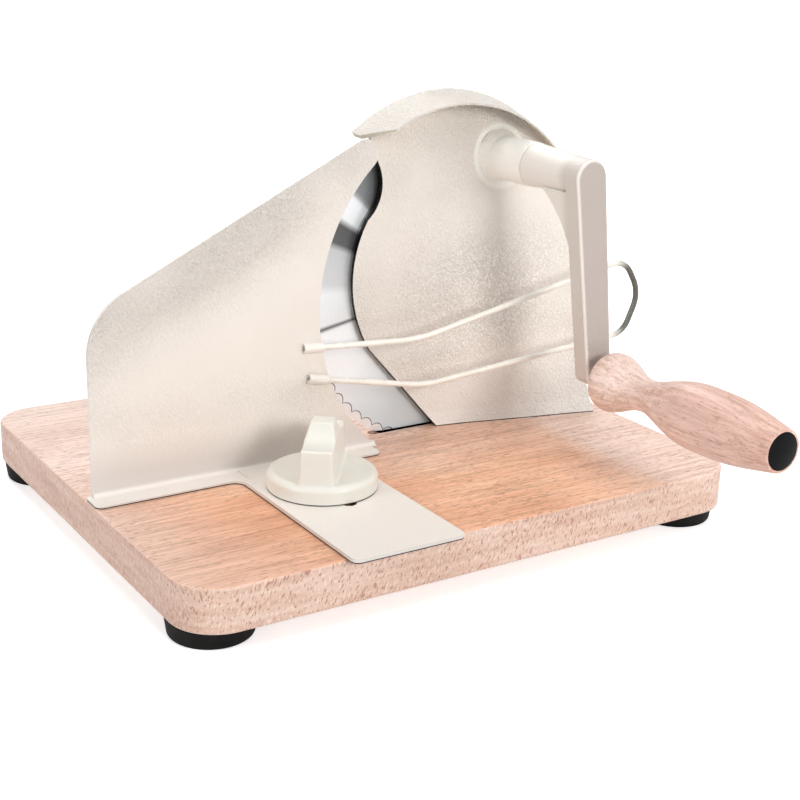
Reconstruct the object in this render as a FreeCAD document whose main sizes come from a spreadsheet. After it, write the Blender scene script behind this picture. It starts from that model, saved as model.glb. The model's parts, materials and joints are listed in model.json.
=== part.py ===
import FreeCAD, Part
import Sketcher
import math
import os

# Hand crank bread slicer on a wooden board.
# Millimetres. X runs along the blade, Y points to the loaf side, Z is up.
# The origin is the middle of the board's underside.

Vector = FreeCAD.Vector
UP = Vector(0, 0, 1)
BACK = Vector(0, 1, 0)
FRONT = Vector(0, -1, 0)

document = FreeCAD.newDocument("BreadSlicer")
sheet = document.addObject("Spreadsheet::Sheet", "Sizes")

SIZES = [
    ("runningGap", 0.05, "radial clearance of a shaft in its bore"),
    ("slideGap", 0.1, "clearance between faces that slide or turn on each other"),
    ("drill", 40, "length of a drill that goes right through"),
    ("boardLength", 340, "board along the blade"),
    ("boardDepth", 287, "board across the blade"),
    ("boardThickness", 24, "board"),
    ("boardCorner", 25, "board's corner radius seen from above"),
    ("boardEdge", 1.6, "rounding of the board's edges"),
    ("footRadius", 22.5, "rubber foot at its top"),
    ("footTaper", 1.5, "how much smaller the foot is at the floor"),
    ("footHeight", 10.5, "rubber foot"),
    ("footEdge", 2.2, "rounding of the foot at the floor"),
    ("footSideInset", 23, "foot centre from the board's left or right edge"),
    ("footFrontInset", 27.5, "foot centre from the board's front or rear edge"),
    ("footScrewRadius", 2.1, "wood screw that holds a foot"),
    ("footScrewHead", 4.2, "head of that screw"),
    ("footScrewHeadHeight", 2.2, "head of that screw"),
    ("footScrewLength", 16, "length of that screw"),
    ("footRecess", 5.7, "recess for the head in the foot"),
    ("footRecessDepth", 6, "depth of that recess"),
    ("bladeRadius", 95, "blade over its cutting edge"),
    ("bladeThickness", 1.5, "blade"),
    ("bladePlane", 4, "middle of the blade, from the board's middle"),
    ("bladeOffset", 63, "blade centre right of the board's middle"),
    ("bladeHeight", 84, "blade centre above the board"),
    ("bladeTeeth", 66, "scallops round the edge"),
    ("scallopInset", 5.7, "how far a scallop reaches in from the edge"),
    ("scallopRadius", 16, "grinding radius of one scallop"),
    ("cuspAngle", 233.1, "direction of one cusp at rest, in degrees"),
    ("slotWidth", 6, "groove in the board for the blade"),
    ("slotMargin", 6, "groove past the blade's entry, each end"),
    ("slotClearance", 3, "groove below the blade's lowest point"),
    ("gearModule", 1.5, "module of the gear pair"),
    ("gearTeeth", 76, "teeth of the blade gear"),
    ("pinionTeeth", 33, "teeth of the crank pinion"),
    ("gearThickness", 2.6, "blade gear"),
    ("gearBacklash", 0.3, "play between the flanks, along the pitch circle"),
    ("pinionThickness", 3.4, "crank pinion"),
    ("pinionToBlade", 0.75, "free space between the pinion and the blade"),
    ("crankAngle", 70.6, "direction from the blade centre to the crank, in degrees"),
    ("axleRadius", 5, "fixed axle of the blade"),
    ("axleStubRadius", 4, "stub of the axle that is pressed into the casting"),
    ("axleStubLength", 4.5, "length of that stub"),
    ("flangeRoom", 4.6, "room for the bush's flange in front of the gear"),
    ("bushRadius", 8, "bush of the blade over its outside"),
    ("bushFlangeRadius", 10.5, "flange of that bush"),
    ("rivetRadius", 2, "rivets that join blade and gear"),
    ("rivetCircle", 21, "radius of the rivets' circle"),
    ("rivetCount", 3, "rivets"),
    ("bladeWasherRadius", 13, "washer that keeps the blade on"),
    ("bladeWasherThickness", 1, "that washer"),
    ("bladeScrewRadius", 2.5, "screw in the axle's end"),
    ("bladeScrewHead", 7.5, "its low domed head"),
    ("bladeScrewHeadTop", 6, "top of that head"),
    ("bladeScrewHeadHeight", 2.4, "its head"),
    ("bladeScrewDriver", 2.2, "driver recess in it"),
    ("bladeScrewDriverDepth", 1.6, "depth of that recess"),
    ("bladeScrewLength", 9, "its length under the head"),
    ("wall", 2.2, "wall of the cast housing"),
    ("hoodRearRadius", 98, "hood over its rear edge"),
    ("hoodFrontRadius", 90.5, "hood over its front rim"),
    ("hoodRearPlane", 6, "hood's rear edge"),
    ("hoodFrontPlane", -20, "hood's front rim"),
    ("hoodWall", 3.6, "thickness of the hood at its rear edge"),
    ("hoodRim", 1.2, "thickness of the hood at its front rim"),
    ("hoodOffset", 60, "hood centre right of the board's middle, at the rear"),
    ("hoodHeight", 101, "hood centre above the board, at the rear"),
    ("housingRear", 1, "rear edge of the front panel"),
    ("hoodFrontOffset", 57, "hood centre right of the board's middle, at the front rim"),
    ("hoodFrontHeight", 103.5, "hood centre above the board, at the front rim"),
    ("hoodStep", 0.6, "how far the hood stands proud of the housing's side"),
    ("hoodTip", -1.5, "left tip of the hood right of the board's middle"),
    ("hoodTipHeight", 178, "that tip above the board"),
    ("hoodTipAngle", 39.8, "slope of the hood's end at that tip, in degrees"),
    ("hoodTipDepth", -2, "where that end starts to slant towards the front rim"),
    ("hoodTipSlant", 12.8, "how far the front rim stays behind the tip"),
    ("hoodLeftLow", 160, "lower end of the hood on the left, above the board"),
    ("hoodRightLow", 112, "lower end of the hood on the right, above the board"),
    ("hoodRunout", 14, "height over which the rear edge runs out on the right"),
    ("housingRight", 158, "right side of the housing in the plane of the hood's rear edge"),
    ("housingDraft", 0.16, "how much that side draws in per millimetre towards the front"),
    ("housingShoulder", 20, "slope of the right side under the hood, in degrees"),
    ("housingShoulderRound", 60, "rounding below that slope"),
    ("housingNeck", 7, "left side of the housing under the hood"),
    ("housingNeckHeight", 172, "that side starts this high above the board"),
    ("edgeFoot", 56.2, "left edge of the housing at the board, right of the board's middle"),
    ("edgeBend", 8.9, "end of that edge's straight lower run"),
    ("edgeBendHeight", 53.6, "that end above the board"),
    ("edgeHollow", -2.75, "furthest point of the bulge round the gear"),
    ("edgeHollowHeight", 95, "that point above the board"),
    ("edgeWaist", 5.5, "end of the bulge"),
    ("edgeWaistHeight", 129.3, "that end above the board"),
    ("edgeKnee", 13.3, "hollow above the bulge"),
    ("edgeKneeHeight", 145, "that hollow above the board"),
    ("edgeNeck", 11.3, "end of the hollow under the hood"),
    ("edgeNeckHeight", 161, "that end above the board"),
    ("panelLeft", 57, "left end of the front panel at the board"),
    ("panelDepth", 2.3, "how far the panel stands in front of the board's middle there"),
    ("panelSlope", 0.236, "how fast the panel comes forward to the right, at the board"),
    ("panelMiddle", 84, "height above the board where the panel's bulge is set"),
    ("panelTop", 170, "height above the board where the panel's top is set"),
    ("panelBulge", 8, "how far the panel stands in front of the board's middle at the ridge"),
    ("ridgeOffset", 37, "soft ridge of the panel right of the board's middle"),
    ("crownStart", 90, "the panel's top curves forward right of this place"),
    ("crownRadius", 294, "radius of that curve"),
    ("skirtReach", 1.6, "how far the panel's foot comes forward"),
    ("skirtHeight", 9, "height of that foot"),
    ("gearRoom", 0.8, "free space round the gears in the housing"),
    ("housingScrewBite", 12, "length of the housing's screws in their pillars"),
    ("housingScrewStart", 40, "first of the three screws from the panel's left end"),
    ("housingScrewMiddle", 65, "second one from the panel's left end"),
    ("housingScrewInset", 13, "last one from the housing's right side"),
    ("housingFlare", 6, "how far the right side widens at the foot"),
    ("housingFlareHeight", 20, "height over which it widens"),
    ("bossRadius", 12.5, "crank boss on the front panel"),
    ("bossCollar", 15.5, "foot of the boss"),
    ("bossCollarLength", 6, "length of the flared foot"),
    ("bossFront", -43, "front face of the boss"),
    ("shaftRadius", 5, "crank shaft"),
    ("shaftStop", 4, "front end of the shaft from the arm's rear face"),
    ("shaftBushRadius", 7, "bushes in the boss"),
    ("shaftBushLength", 13, "each of them"),
    ("thrustThickness", 0.8, "washer between boss and crank"),
    ("hubRadius", 12.2, "crank hub at the boss"),
    ("hubFrontRadius", 9.9, "crank hub at the arm"),
    ("hubRoot", 3, "how far the hub goes into the arm"),
    ("armBack", -80, "rear face of the crank arm"),
    ("armThickness", 12.5, "crank arm"),
    ("armTopRadius", 10.1, "rounded top of the arm"),
    ("armEndWidth", 8.6, "half the arm's width at the grip"),
    ("armEndReach", 6.4, "how far the arm goes on below the grip's axis"),
    ("armEdge", 2.2, "rounding of the arm's edges"),
    ("crankThrow", 113.2, "crank axis to handle axis"),
    ("crankLean", 7.6, "lean of the arm at rest, in degrees"),
    ("gussetReach", 40, "web under the hub, down the arm"),
    ("gussetStart", 14, "start of that web from the hub's rear end"),
    ("gussetBelly", 9, "middle of the web's hollow edge behind the arm"),
    ("gussetDrop", 11.2, "that middle below the hub"),
    ("gussetWidth", 17, "that web"),
    ("grubRadius", 2.5, "grub screw in the hub"),
    ("grubLength", 6.5, "grub screw"),
    ("grubSocket", 1.3, "socket in the grub screw"),
    ("grubSocketDepth", 2.6, "depth of that socket"),
    ("spindleRadius", 4, "handle spindle"),
    ("spindleHead", 7, "head of the spindle"),
    ("spindleHeadHeight", 4, "head of the spindle"),
    ("spindleEnd", 1.2, "riveted end of the spindle behind the arm"),
    ("spindleSocket", 2.9, "socket in its head"),
    ("spindleSocketDepth", 2.4, "depth of that socket"),
    ("nutAcross", 13, "lock nut across its flats"),
    ("nutHeight", 6, "lock nut"),
    ("nutChamfer", 0.9, "chamfer of its corners"),
    ("gripWasherRadius", 8, "washer behind the grip"),
    ("gripWasherThickness", 1, "that washer"),
    ("gripLength", 130, "wooden grip"),
    ("gripFlare", 16.6, "grip at its flared rear"),
    ("gripNeck", 9.2, "grip at its neck"),
    ("gripBelly", 17.7, "grip at its thickest"),
    ("gripEnd", 11.3, "grip at its front end"),
    ("counterbore", 8.6, "counterbore in the grip's front end"),
    ("counterboreDepth", 14, "counterbore"),
    ("capRadius", 10, "end cap"),
    ("capDisc", 1.6, "disc of the end cap, let into the wood"),
    ("capPlug", 4.5, "plug of the cap in the counterbore"),
    ("capDome", 1.2, "how far the cap is domed"),
    ("fenceFront", -17, "front face of the stop plate at rest"),
    ("fenceThickness", 2.5, "stop plate"),
    ("fenceLeft", -166, "left edge of the stop plate"),
    ("fenceCornerHeight", 98, "upper left corner of the plate before rounding"),
    ("fenceCorner", 37, "rounding of that corner"),
    ("fenceSlope", 26.5, "slope of the plate's upper edge, in degrees"),
    ("fenceArcRadius", 110, "hollow right edge of the plate"),
    ("fenceArcOffset", 77, "centre of that edge right of the board's middle"),
    ("fenceNose", 8.3, "rounded upper tip of the plate"),
    ("ledgeFront", -30.5, "front edge of the plate's foot"),
    ("ledgeThickness", 1.4, "foot of the plate"),
    ("ledgeBend", 3, "rounding between the plate and its foot"),
    ("ledgeOverhang", 3, "how far the foot goes past the plate on the left"),
    ("ledgeRight", 1, "right end of the foot"),
    ("tongueThickness", 2.4, "guide tongue"),
    ("tongueLeft", -88.5, "left edge of the tongue"),
    ("tongueRight", -24, "right edge of the tongue"),
    ("tongueFront", -150.5, "front end of the tongue at rest"),
    ("tongueShoulder", 4.5, "step between the tongue's edge and the foot, from the tongue's edge"),
    ("tongueRampFront", -41.5, "front end of the ramp from the tongue down to the foot"),
    ("tongueRampBack", -28, "rear end of that ramp"),
    ("tongueCorner", 4, "rounding of the tongue's front corners"),
    ("tongueInnerCorner", 7, "rounding between tongue and foot"),
    ("travel", 16.5, "travel of the stop plate towards the blade"),
    ("wireRadius", 1.7, "wire bow"),
    ("socketRadius", 2.8, "wire sockets"),
    ("socketLength", 10, "wire in its sockets"),
    ("socketMouth", 2.2, "open end of a socket past the wire's end"),
    ("wireTilt", 8, "angle between the bow and the plate, in degrees"),
    ("wireStandoff", 2.3, "bow in front of the plate at the sockets"),
    ("wireRoot", -32, "where that distance is measured, right of the board's middle"),
    ("knobX", -55, "clamp knob right of the board's middle"),
    ("knobY", -60.3, "clamp knob from the board's middle"),
    ("knobRadius", 29.5, "clamp knob over its skirt"),
    ("knobSkirt", 9.6, "height of the skirt"),
    ("knobShoulder", 3.4, "rounding of the skirt"),
    ("knobDish", 2.4, "how deep the skirt's top is dished"),
    ("knobHeight", 37, "clamp knob"),
    ("knobBarWidth", 18.8, "grip bar at its foot"),
    ("knobBarTop", 11.6, "grip bar at its top"),
    ("knobBarLength", 53, "grip bar"),
    ("knobBarShoulder", 28.8, "height of the grip bar at its ends"),
    ("knobRidge", 11, "length of the grip bar's flat top"),
    ("knobSwoop", 10, "hollow of the bar's upper edge, from the middle"),
    ("knobSwoopRise", 2.3, "that hollow above the bar's ends"),
    ("knobBarDraft", 0.6, "how much the bar draws in at its ends"),
    ("knobBarTaper", 1.1, "how much its sides draw in up to its ends"),
    ("knobBarEdge", 1.3, "rounding of the bar's edges"),
    ("knobBarFoot", 1.8, "rounding between the bar and the skirt"),
    ("knobBarRoot", 2, "how deep the bar stands in the skirt, from below"),
    ("knobBore", 15, "depth of the stud's hole in the knob"),
    ("knobTurn", -37, "direction of the bar at rest, in degrees"),
    ("slotSpare", 15.5, "slot in the tongue in front of the stud, past the travel"),
    ("slotBack", 5, "slot in the tongue, behind the stud's middle at rest"),
    ("slotPlay", 0.25, "play of the stud in the slot, each side"),
    ("studRadius", 4, "threaded stud of the knob"),
    ("studDepth", 15, "stud below the board's top"),
    ("insertRadius", 6, "threaded insert in the board"),
    ("insertDepth", 17, "that insert"),
    ("clampWasherRadius", 11, "washer under the knob"),
    ("clampWasherThickness", 1.2, "that washer"),
    ("housingScrewRadius", 2.4, "screws that hold the housing from below"),
    ("housingScrewHead", 4.8, "their countersunk heads"),
    ("housingDriver", 1.6, "driver recess in them"),
    ("housingDriverDepth", 1.4, "depth of that recess"),
    ("pillarRadius", 5.2, "screw pillars inside the housing"),
    ("pillarHeight", 20, "screw pillars"),
]

for row, (alias, value, words) in enumerate(SIZES, start=1):
    sheet.set("A%d" % row, words)
    sheet.set("B%d" % row, str(value))
    sheet.setAlias("B%d" % row, alias)
document.recompute()


def size(alias):
    return float(sheet.get(alias))


# Helpers that add one object each, with its sizes bound to the sheet.
# A size is given as an expression in the sheet's aliases.

def bind(item, name, expression):
    item.setExpression(name, bound(expression))


def bound(expression):
    words = []
    word = ""
    for letter in expression + " ":
        if letter.isalnum():
            word += letter
            continue
        words.append("Sizes." + word if word in ALIASES else word)
        words.append(letter)
        word = ""
    return "".join(words).strip()


ALIASES = {alias for alias, value, words in SIZES}


def place(item, x="0", y="0", z="0", rotation=None):
    if rotation is not None:
        item.Placement = FreeCAD.Placement(Vector(0, 0, 0), rotation)
    bind(item, "Placement.Base.x", x)
    bind(item, "Placement.Base.y", y)
    bind(item, "Placement.Base.z", z)
    return item


TO_FRONT = FreeCAD.Rotation(Vector(1, 0, 0), 90)
TO_BACK = FreeCAD.Rotation(Vector(1, 0, 0), -90)


def cylinder(name, radius, height, x="0", y="0", z="0", rotation=None):
    item = document.addObject("Part::Cylinder", name)
    bind(item, "Radius", radius)
    bind(item, "Height", height)
    return place(item, x, y, z, rotation)


def cone(name, bottom, top, height, x="0", y="0", z="0", rotation=None):
    item = document.addObject("Part::Cone", name)
    bind(item, "Radius1", bottom)
    bind(item, "Radius2", top)
    bind(item, "Height", height)
    return place(item, x, y, z, rotation)


def fuse(name, *parts):
    item = document.addObject("Part::MultiFuse", name)
    item.Shapes = list(parts)
    return item


def cut(name, base, tool):
    item = document.addObject("Part::Cut", name)
    item.Base = base
    item.Tool = tool
    return item


def group(name, parts):
    item = document.addObject("Part::Compound", name)
    item.Links = list(parts)
    return item


def shape_object(name, shape):
    item = document.addObject("Part::Feature", name)
    item.Shape = shape
    return item


def extrude(name, base, direction, length):
    item = document.addObject("Part::Extrusion", name)
    item.Base = base
    item.DirMode = "Custom"
    item.Dir = direction
    item.Solid = True
    bind(item, "LengthFwd", length)
    return item


def round_edges(name, base, radius, wanted):
    document.recompute()
    item = document.addObject("Part::Fillet", name)
    item.Base = base
    edges = []
    for number, edge in enumerate(base.Shape.Edges, start=1):
        if wanted(edge):
            edges.append((number, radius, radius))
    item.Edges = edges
    return item


# Wires are drawn from points and arcs in the plane they belong to.

def line(start, end):
    return Part.LineSegment(start, end).toShape()


def arc(start, middle, end):
    return Part.Arc(start, middle, end).toShape()


def face(edges):
    return Part.Face(Part.Wire(Part.__sortEdges__(edges)))


def rounded_loop(points, radii):
    """A closed outline of straight runs, each corner rounded by its own radius."""
    edges = []
    starts = []
    ends = []
    count = len(points)
    for number in range(count):
        corner = points[number]
        before = (points[number - 1] - corner).normalize()
        after = (points[(number + 1) % count] - corner).normalize()
        radius = radii[number]
        if radius <= 0:
            starts.append(corner)
            ends.append(corner)
            continue
        half = before.getAngle(after) / 2
        reach = radius / math.tan(half)
        middle = (before + after).normalize()
        centre = corner + middle * (radius / math.sin(half))
        first = corner + before * reach
        last = corner + after * reach
        edges.append(arc(first, centre - middle * radius, last))
        starts.append(first)
        ends.append(last)
    for number in range(count):
        following = (number + 1) % count
        if ends[number].distanceToPoint(starts[following]) > 1e-6:
            edges.append(line(ends[number], starts[following]))
    return face(edges)


def in_front_view(x, z, y=0.0):
    return Vector(x, y, z)


# A length past every part of the slicer, for the solids that only cut others off.
far = 2 * size("boardLength")
board_top = size("boardThickness")
blade_x = size("bladeOffset")
blade_z = board_top + size("bladeHeight")
blade_y = size("bladePlane")
blade_front = blade_y - size("bladeThickness") / 2
centre_distance = size("gearModule") * (size("gearTeeth") + size("pinionTeeth")) / 2
crank_angle = math.radians(size("crankAngle"))
crank_x = blade_x + centre_distance * math.cos(crank_angle)
crank_z = blade_z + centre_distance * math.sin(crank_angle)
lean = math.radians(size("crankLean"))
grip_x = crank_x + size("crankThrow") * math.sin(lean)
grip_z = crank_z - size("crankThrow") * math.cos(lean)

BLADE_X = "bladeOffset"
BLADE_Z = "boardThickness + bladeHeight"
CENTRES = "gearModule * (gearTeeth + pinionTeeth) / 2"
CRANK_X = "bladeOffset + " + CENTRES + " * cos(crankAngle)"
CRANK_Z = BLADE_Z + " + " + CENTRES + " * sin(crankAngle)"
GRIP_X = CRANK_X + " + crankThrow * sin(crankLean)"
GRIP_Z = CRANK_Z + " - crankThrow * cos(crankLean)"

nodes = {}


def keep(name, item):
    item.Label = name
    nodes[name] = item
    return item


# Board: a sketched slab with rounded corners and the groove for the blade.

def origin_plane(body, role):
    for feature in body.Origin.OriginFeatures:
        if feature.Role == role:
            return feature
    raise ValueError(role)


def sketch_on(body, name, role, height="0"):
    sketch = body.newObject("Sketcher::SketchObject", name)
    sketch.AttachmentSupport = [(origin_plane(body, role), "")]
    sketch.MapMode = "FlatFace"
    bind(sketch, "AttachmentOffset.Base.z", height)
    return sketch


def constrain(sketch, expression, *words):
    index = sketch.addConstraint(Sketcher.Constraint(*words))
    if expression:
        bind(sketch, "Constraints[%d]" % index, expression)


def rectangle(sketch, width, depth):
    half_width = size(width) / 2
    half_depth = size(depth) / 2
    corners = [
        Vector(-half_width, -half_depth, 0), Vector(half_width, -half_depth, 0),
        Vector(half_width, half_depth, 0), Vector(-half_width, half_depth, 0),
    ]
    for number in range(4):
        sketch.addGeometry(Part.LineSegment(corners[number], corners[(number + 1) % 4]), False)
    for number in range(4):
        constrain(sketch, "", "Coincident", number, 2, (number + 1) % 4, 1)
    for number in (0, 2):
        constrain(sketch, "", "Horizontal", number)
    for number in (1, 3):
        constrain(sketch, "", "Vertical", number)
    constrain(sketch, "", "Symmetric", 0, 1, 1, 2, -1, 1)
    constrain(sketch, width, "DistanceX", 0, 1, 0, 2, 2 * half_width)
    constrain(sketch, depth, "DistanceY", 1, 1, 1, 2, 2 * half_depth)


def long_hole(sketch, middle_x, middle_y, half_length, radius):
    """A slot along X: two half circles joined by two straight sides."""
    x, y, reach, rounding = [value for expression, value in (middle_x, middle_y, half_length, radius)]
    left = Vector(x - reach, y, 0)
    right = Vector(x + reach, y, 0)
    up = Vector(0, rounding, 0)
    quarter = math.pi / 2
    sketch.addGeometry(Part.ArcOfCircle(Part.Circle(left, UP, rounding), quarter, 3 * quarter), False)
    sketch.addGeometry(Part.ArcOfCircle(Part.Circle(right, UP, rounding), -quarter, quarter), False)
    sketch.addGeometry(Part.LineSegment(left - up, right - up), False)
    sketch.addGeometry(Part.LineSegment(left + up, right + up), False)
    constrain(sketch, "", "Tangent", 0, 1, 3, 1)
    constrain(sketch, "", "Tangent", 0, 2, 2, 1)
    constrain(sketch, "", "Tangent", 2, 2, 1, 1)
    constrain(sketch, "", "Tangent", 3, 2, 1, 2)
    constrain(sketch, "", "Equal", 0, 1)
    constrain(sketch, radius[0], "Radius", 0, rounding)
    constrain(sketch, "%s - (%s)" % (middle_x[0], half_length[0]), "DistanceX", 0, 3, x - reach)
    constrain(sketch, "%s + (%s)" % (middle_x[0], half_length[0]), "DistanceX", 1, 3, x + reach)
    constrain(sketch, middle_y[0], "DistanceY", 0, 3, y)
    constrain(sketch, middle_y[0], "DistanceY", 1, 3, y)


PINION_FRONT_Y = blade_front - size("pinionToBlade") - size("pinionThickness")
HOUSING_SCREWS_X = [
    size("panelLeft") + size("housingScrewStart"), size("panelLeft") + size("housingScrewMiddle"),
    size("housingRight") - size("housingScrewInset"),
]


def housing_screw_y(x):
    depth = size("panelDepth") + size("panelSlope") * (x - size("panelLeft"))
    return size("wall") + size("pillarRadius") - 1 - depth


blade_entry = math.sqrt(size("bladeRadius") ** 2 - size("bladeHeight") ** 2)
SLOT_DEPTH = "bladeRadius - bladeHeight + slotClearance"
SLOT_REACH = "sqrt(bladeRadius^2 - bladeHeight^2) + slotMargin - slotWidth / 2"


def make_board():
    body = document.addObject("PartDesign::Body", "boardBody")
    outline = sketch_on(body, "boardOutline", "XY_Plane")
    rectangle(outline, "boardLength", "boardDepth")
    slab = body.newObject("PartDesign::Pad", "boardSlab")
    slab.Profile = outline
    bind(slab, "Length", "boardThickness")
    document.recompute()

    corners = body.newObject("PartDesign::Fillet", "boardCorners")
    names = []
    for number, edge in enumerate(slab.Shape.Edges, start=1):
        if abs(edge.tangentAt(edge.FirstParameter).z) > 0.99:
            names.append("Edge%d" % number)
    corners.Base = (slab, names)
    bind(corners, "Radius", "boardCorner")
    document.recompute()

    softened = body.newObject("PartDesign::Fillet", "boardEdges")
    names = []
    for number, edge in enumerate(corners.Shape.Edges, start=1):
        box = edge.BoundBox
        if box.ZLength < 0.001:
            names.append("Edge%d" % number)
    softened.Base = (corners, names)
    bind(softened, "Radius", "boardEdge")
    document.recompute()

    groove = sketch_on(body, "bladeSlot", "XY_Plane", "boardThickness")
    reach = blade_entry + size("slotMargin") - size("slotWidth") / 2
    long_hole(
        groove,
        ("bladeOffset", size("bladeOffset")),
        ("bladePlane", size("bladePlane")),
        (SLOT_REACH, reach),
        ("slotWidth / 2", size("slotWidth") / 2),
    )
    before = softened.Shape.Volume
    pocket = body.newObject("PartDesign::Pocket", "bladeGroove")
    pocket.Profile = groove
    bind(pocket, "Length", SLOT_DEPTH)
    document.recompute()
    if pocket.Shape.Volume > before - 1:
        raise ValueError("the blade groove cuts nothing")

    tools = [
        cylinder("insertHole", "insertRadius", "insertDepth", "knobX", "knobY",
                 "boardThickness - insertDepth"),
    ]
    for number, (x, y) in enumerate(FOOT_PLACES):
        tools.append(cylinder(
            "footPilot%d" % number, "footScrewRadius", "footScrewLength - footHeight + footRecessDepth",
            x, y))
    for number, place_x in enumerate(HOUSING_SCREWS_X):
        x = str(place_x)
        y = str(housing_screw_y(place_x))
        tools.append(cylinder("housingHole%d" % number, "housingScrewRadius", "boardThickness", x, y))
        tools.append(cone("housingSink%d" % number, "housingScrewHead", "housingScrewRadius",
                          "housingScrewHead - housingScrewRadius", x, y))
    keep("board", cut("boardDrilled", body, group("boardHoles", tools)))


FOOT_X = "boardLength / 2 - footSideInset"
FOOT_Y = "boardDepth / 2 - footFrontInset"
FOOT_PLACES = [
    ("-(" + FOOT_X + ")", "-(" + FOOT_Y + ")"), (FOOT_X, "-(" + FOOT_Y + ")"),
    ("-(" + FOOT_X + ")", FOOT_Y), (FOOT_X, FOOT_Y),
]
FOOT_NAMES = ["foot_front_left", "foot_front_right", "foot_rear_left", "foot_rear_right"]


def make_feet():
    screws = []
    for number, (name, (x, y)) in enumerate(zip(FOOT_NAMES, FOOT_PLACES)):
        pad = cone(name + "Pad", "footRadius - footTaper", "footRadius", "footHeight", x, y, "-footHeight")
        softened = round_edges(
            name + "Edge", pad, size("footEdge"),
            lambda edge: abs(edge.BoundBox.ZMax + size("footHeight")) < 0.001)
        holes = group(name + "Holes", [
            cylinder(name + "Recess", "footRecess", "footRecessDepth", x, y, "-footHeight"),
            cylinder(name + "Bore", "footScrewRadius", "footHeight", x, y, "-footHeight"),
        ])
        keep(name, cut(name + "Foot", softened, holes))
        head = cylinder(name + "Head", "footScrewHead", "footScrewHeadHeight", x, y,
                        "footRecessDepth - footHeight - footScrewHeadHeight")
        shank = cylinder(name + "Shank", "footScrewRadius", "footScrewLength", x, y,
                         "footRecessDepth - footHeight")
        screws.append(fuse(name + "Screw", head, shank))
    keep("foot_screws", group("footScrews", screws))


# Blade: a flat disc whose edge is hollow ground in scallops on the front side.

def make_blade():
    radius = size("bladeRadius")
    inset = size("scallopInset")
    thickness = size("bladeThickness")
    rounding = size("scallopRadius")
    edge_depth = 0.9 * thickness
    tilt = math.atan(edge_depth / inset)
    centre = Vector(blade_x, blade_front, blade_z)
    disc = Part.makeCylinder(radius, thickness, centre, BACK)
    cutters = []
    pitch = 2 * math.pi / size("bladeTeeth")
    for number in range(int(size("bladeTeeth"))):
        angle = math.radians(size("cuspAngle")) + (number + 0.5) * pitch
        outward = Vector(math.cos(angle), 0, math.sin(angle))
        direction = outward * math.cos(tilt) + BACK * math.sin(tilt)
        start = centre + outward * (radius - inset) + FRONT * (rounding / math.cos(tilt))
        cutters.append(Part.makeCylinder(rounding, inset * 2.5, start, direction))
    ground = disc.cut(cutters)
    bore = Part.makeCylinder(size("bushRadius"), thickness, centre, BACK)
    holes = [bore]
    for x, z in rivet_places():
        holes.append(Part.makeCylinder(size("rivetRadius"), thickness, Vector(x, blade_front, z), BACK))
    keep("blade", shape_object("bladeDisc", ground.cut(holes)))


def rivet_places():
    places = []
    for number in range(int(size("rivetCount"))):
        angle = 2 * math.pi * number / size("rivetCount") + math.pi / 2
        places.append((blade_x + size("rivetCircle") * math.cos(angle),
                       blade_z + size("rivetCircle") * math.sin(angle)))
    return places


# Gear pair: involute teeth, each flank an arc through three points of the involute.

PRESSURE_ANGLE = math.radians(20)
DEDENDUM = 1.25


def involute(angle):
    return math.tan(angle) - angle


def gear_face(teeth, centre_x, centre_z, y, tooth_angle):
    module = size("gearModule")
    pitch_radius = module * teeth / 2
    base_radius = pitch_radius * math.cos(PRESSURE_ANGLE)
    root_radius = pitch_radius - DEDENDUM * module
    tip_radius = pitch_radius + module
    half_tooth = math.pi / (2 * teeth) - size("gearBacklash") / (4 * pitch_radius)

    def half_angle(radius):
        if radius <= base_radius:
            return half_tooth + involute(PRESSURE_ANGLE)
        return half_tooth + involute(PRESSURE_ANGLE) - involute(math.acos(base_radius / radius))

    def point(radius, angle):
        return in_front_view(centre_x + radius * math.cos(angle), centre_z + radius * math.sin(angle), y)

    middle_radius = (root_radius + tip_radius) / 2
    edges = []
    first = None
    last = None
    for number in range(teeth):
        middle = tooth_angle + 2 * math.pi * number / teeth
        rising = [point(r, middle - half_angle(r)) for r in (root_radius, middle_radius, tip_radius)]
        falling = [point(r, middle + half_angle(r)) for r in (tip_radius, middle_radius, root_radius)]
        if last is not None:
            edges.append(line(last, rising[0]))
        else:
            first = rising[0]
        edges.append(arc(*rising))
        edges.append(line(rising[-1], falling[0]))
        edges.append(arc(*falling))
        last = falling[-1]
    edges.append(line(last, first))
    return Part.Face(Part.Wire(edges))


def make_gears():
    gear_teeth = int(size("gearTeeth"))
    pinion_teeth = int(size("pinionTeeth"))
    gear = gear_face(gear_teeth, blade_x, blade_z, blade_front, crank_angle)
    blank = extrude("gearBlank", shape_object("gearOutline", gear), FRONT, "gearThickness")
    holes = [cylinder("gearBore", "bushRadius", "gearThickness", BLADE_X,
                      "bladePlane - bladeThickness / 2", BLADE_Z, TO_FRONT)]
    for number, (x, z) in enumerate(rivet_places()):
        holes.append(cylinder("gearRivetHole%d" % number, "rivetRadius", "gearThickness", str(x),
                              "bladePlane - bladeThickness / 2", str(z), TO_FRONT))
    keep("blade_gear", cut("gearDrilled", blank, group("gearHoles", holes)))

    gap_angle = crank_angle + math.pi + math.pi / pinion_teeth
    pinion_rear = blade_front - size("pinionToBlade")
    pinion = gear_face(pinion_teeth, crank_x, crank_z, pinion_rear, gap_angle)
    blank = extrude("pinionBlank", shape_object("pinionOutline", pinion), FRONT, "pinionThickness")
    bore = cylinder("pinionBore", "shaftRadius", "pinionThickness", CRANK_X, PINION_REAR, CRANK_Z, TO_FRONT)
    keep("crank_pinion", cut("pinionDrilled", blank, bore))


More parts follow.
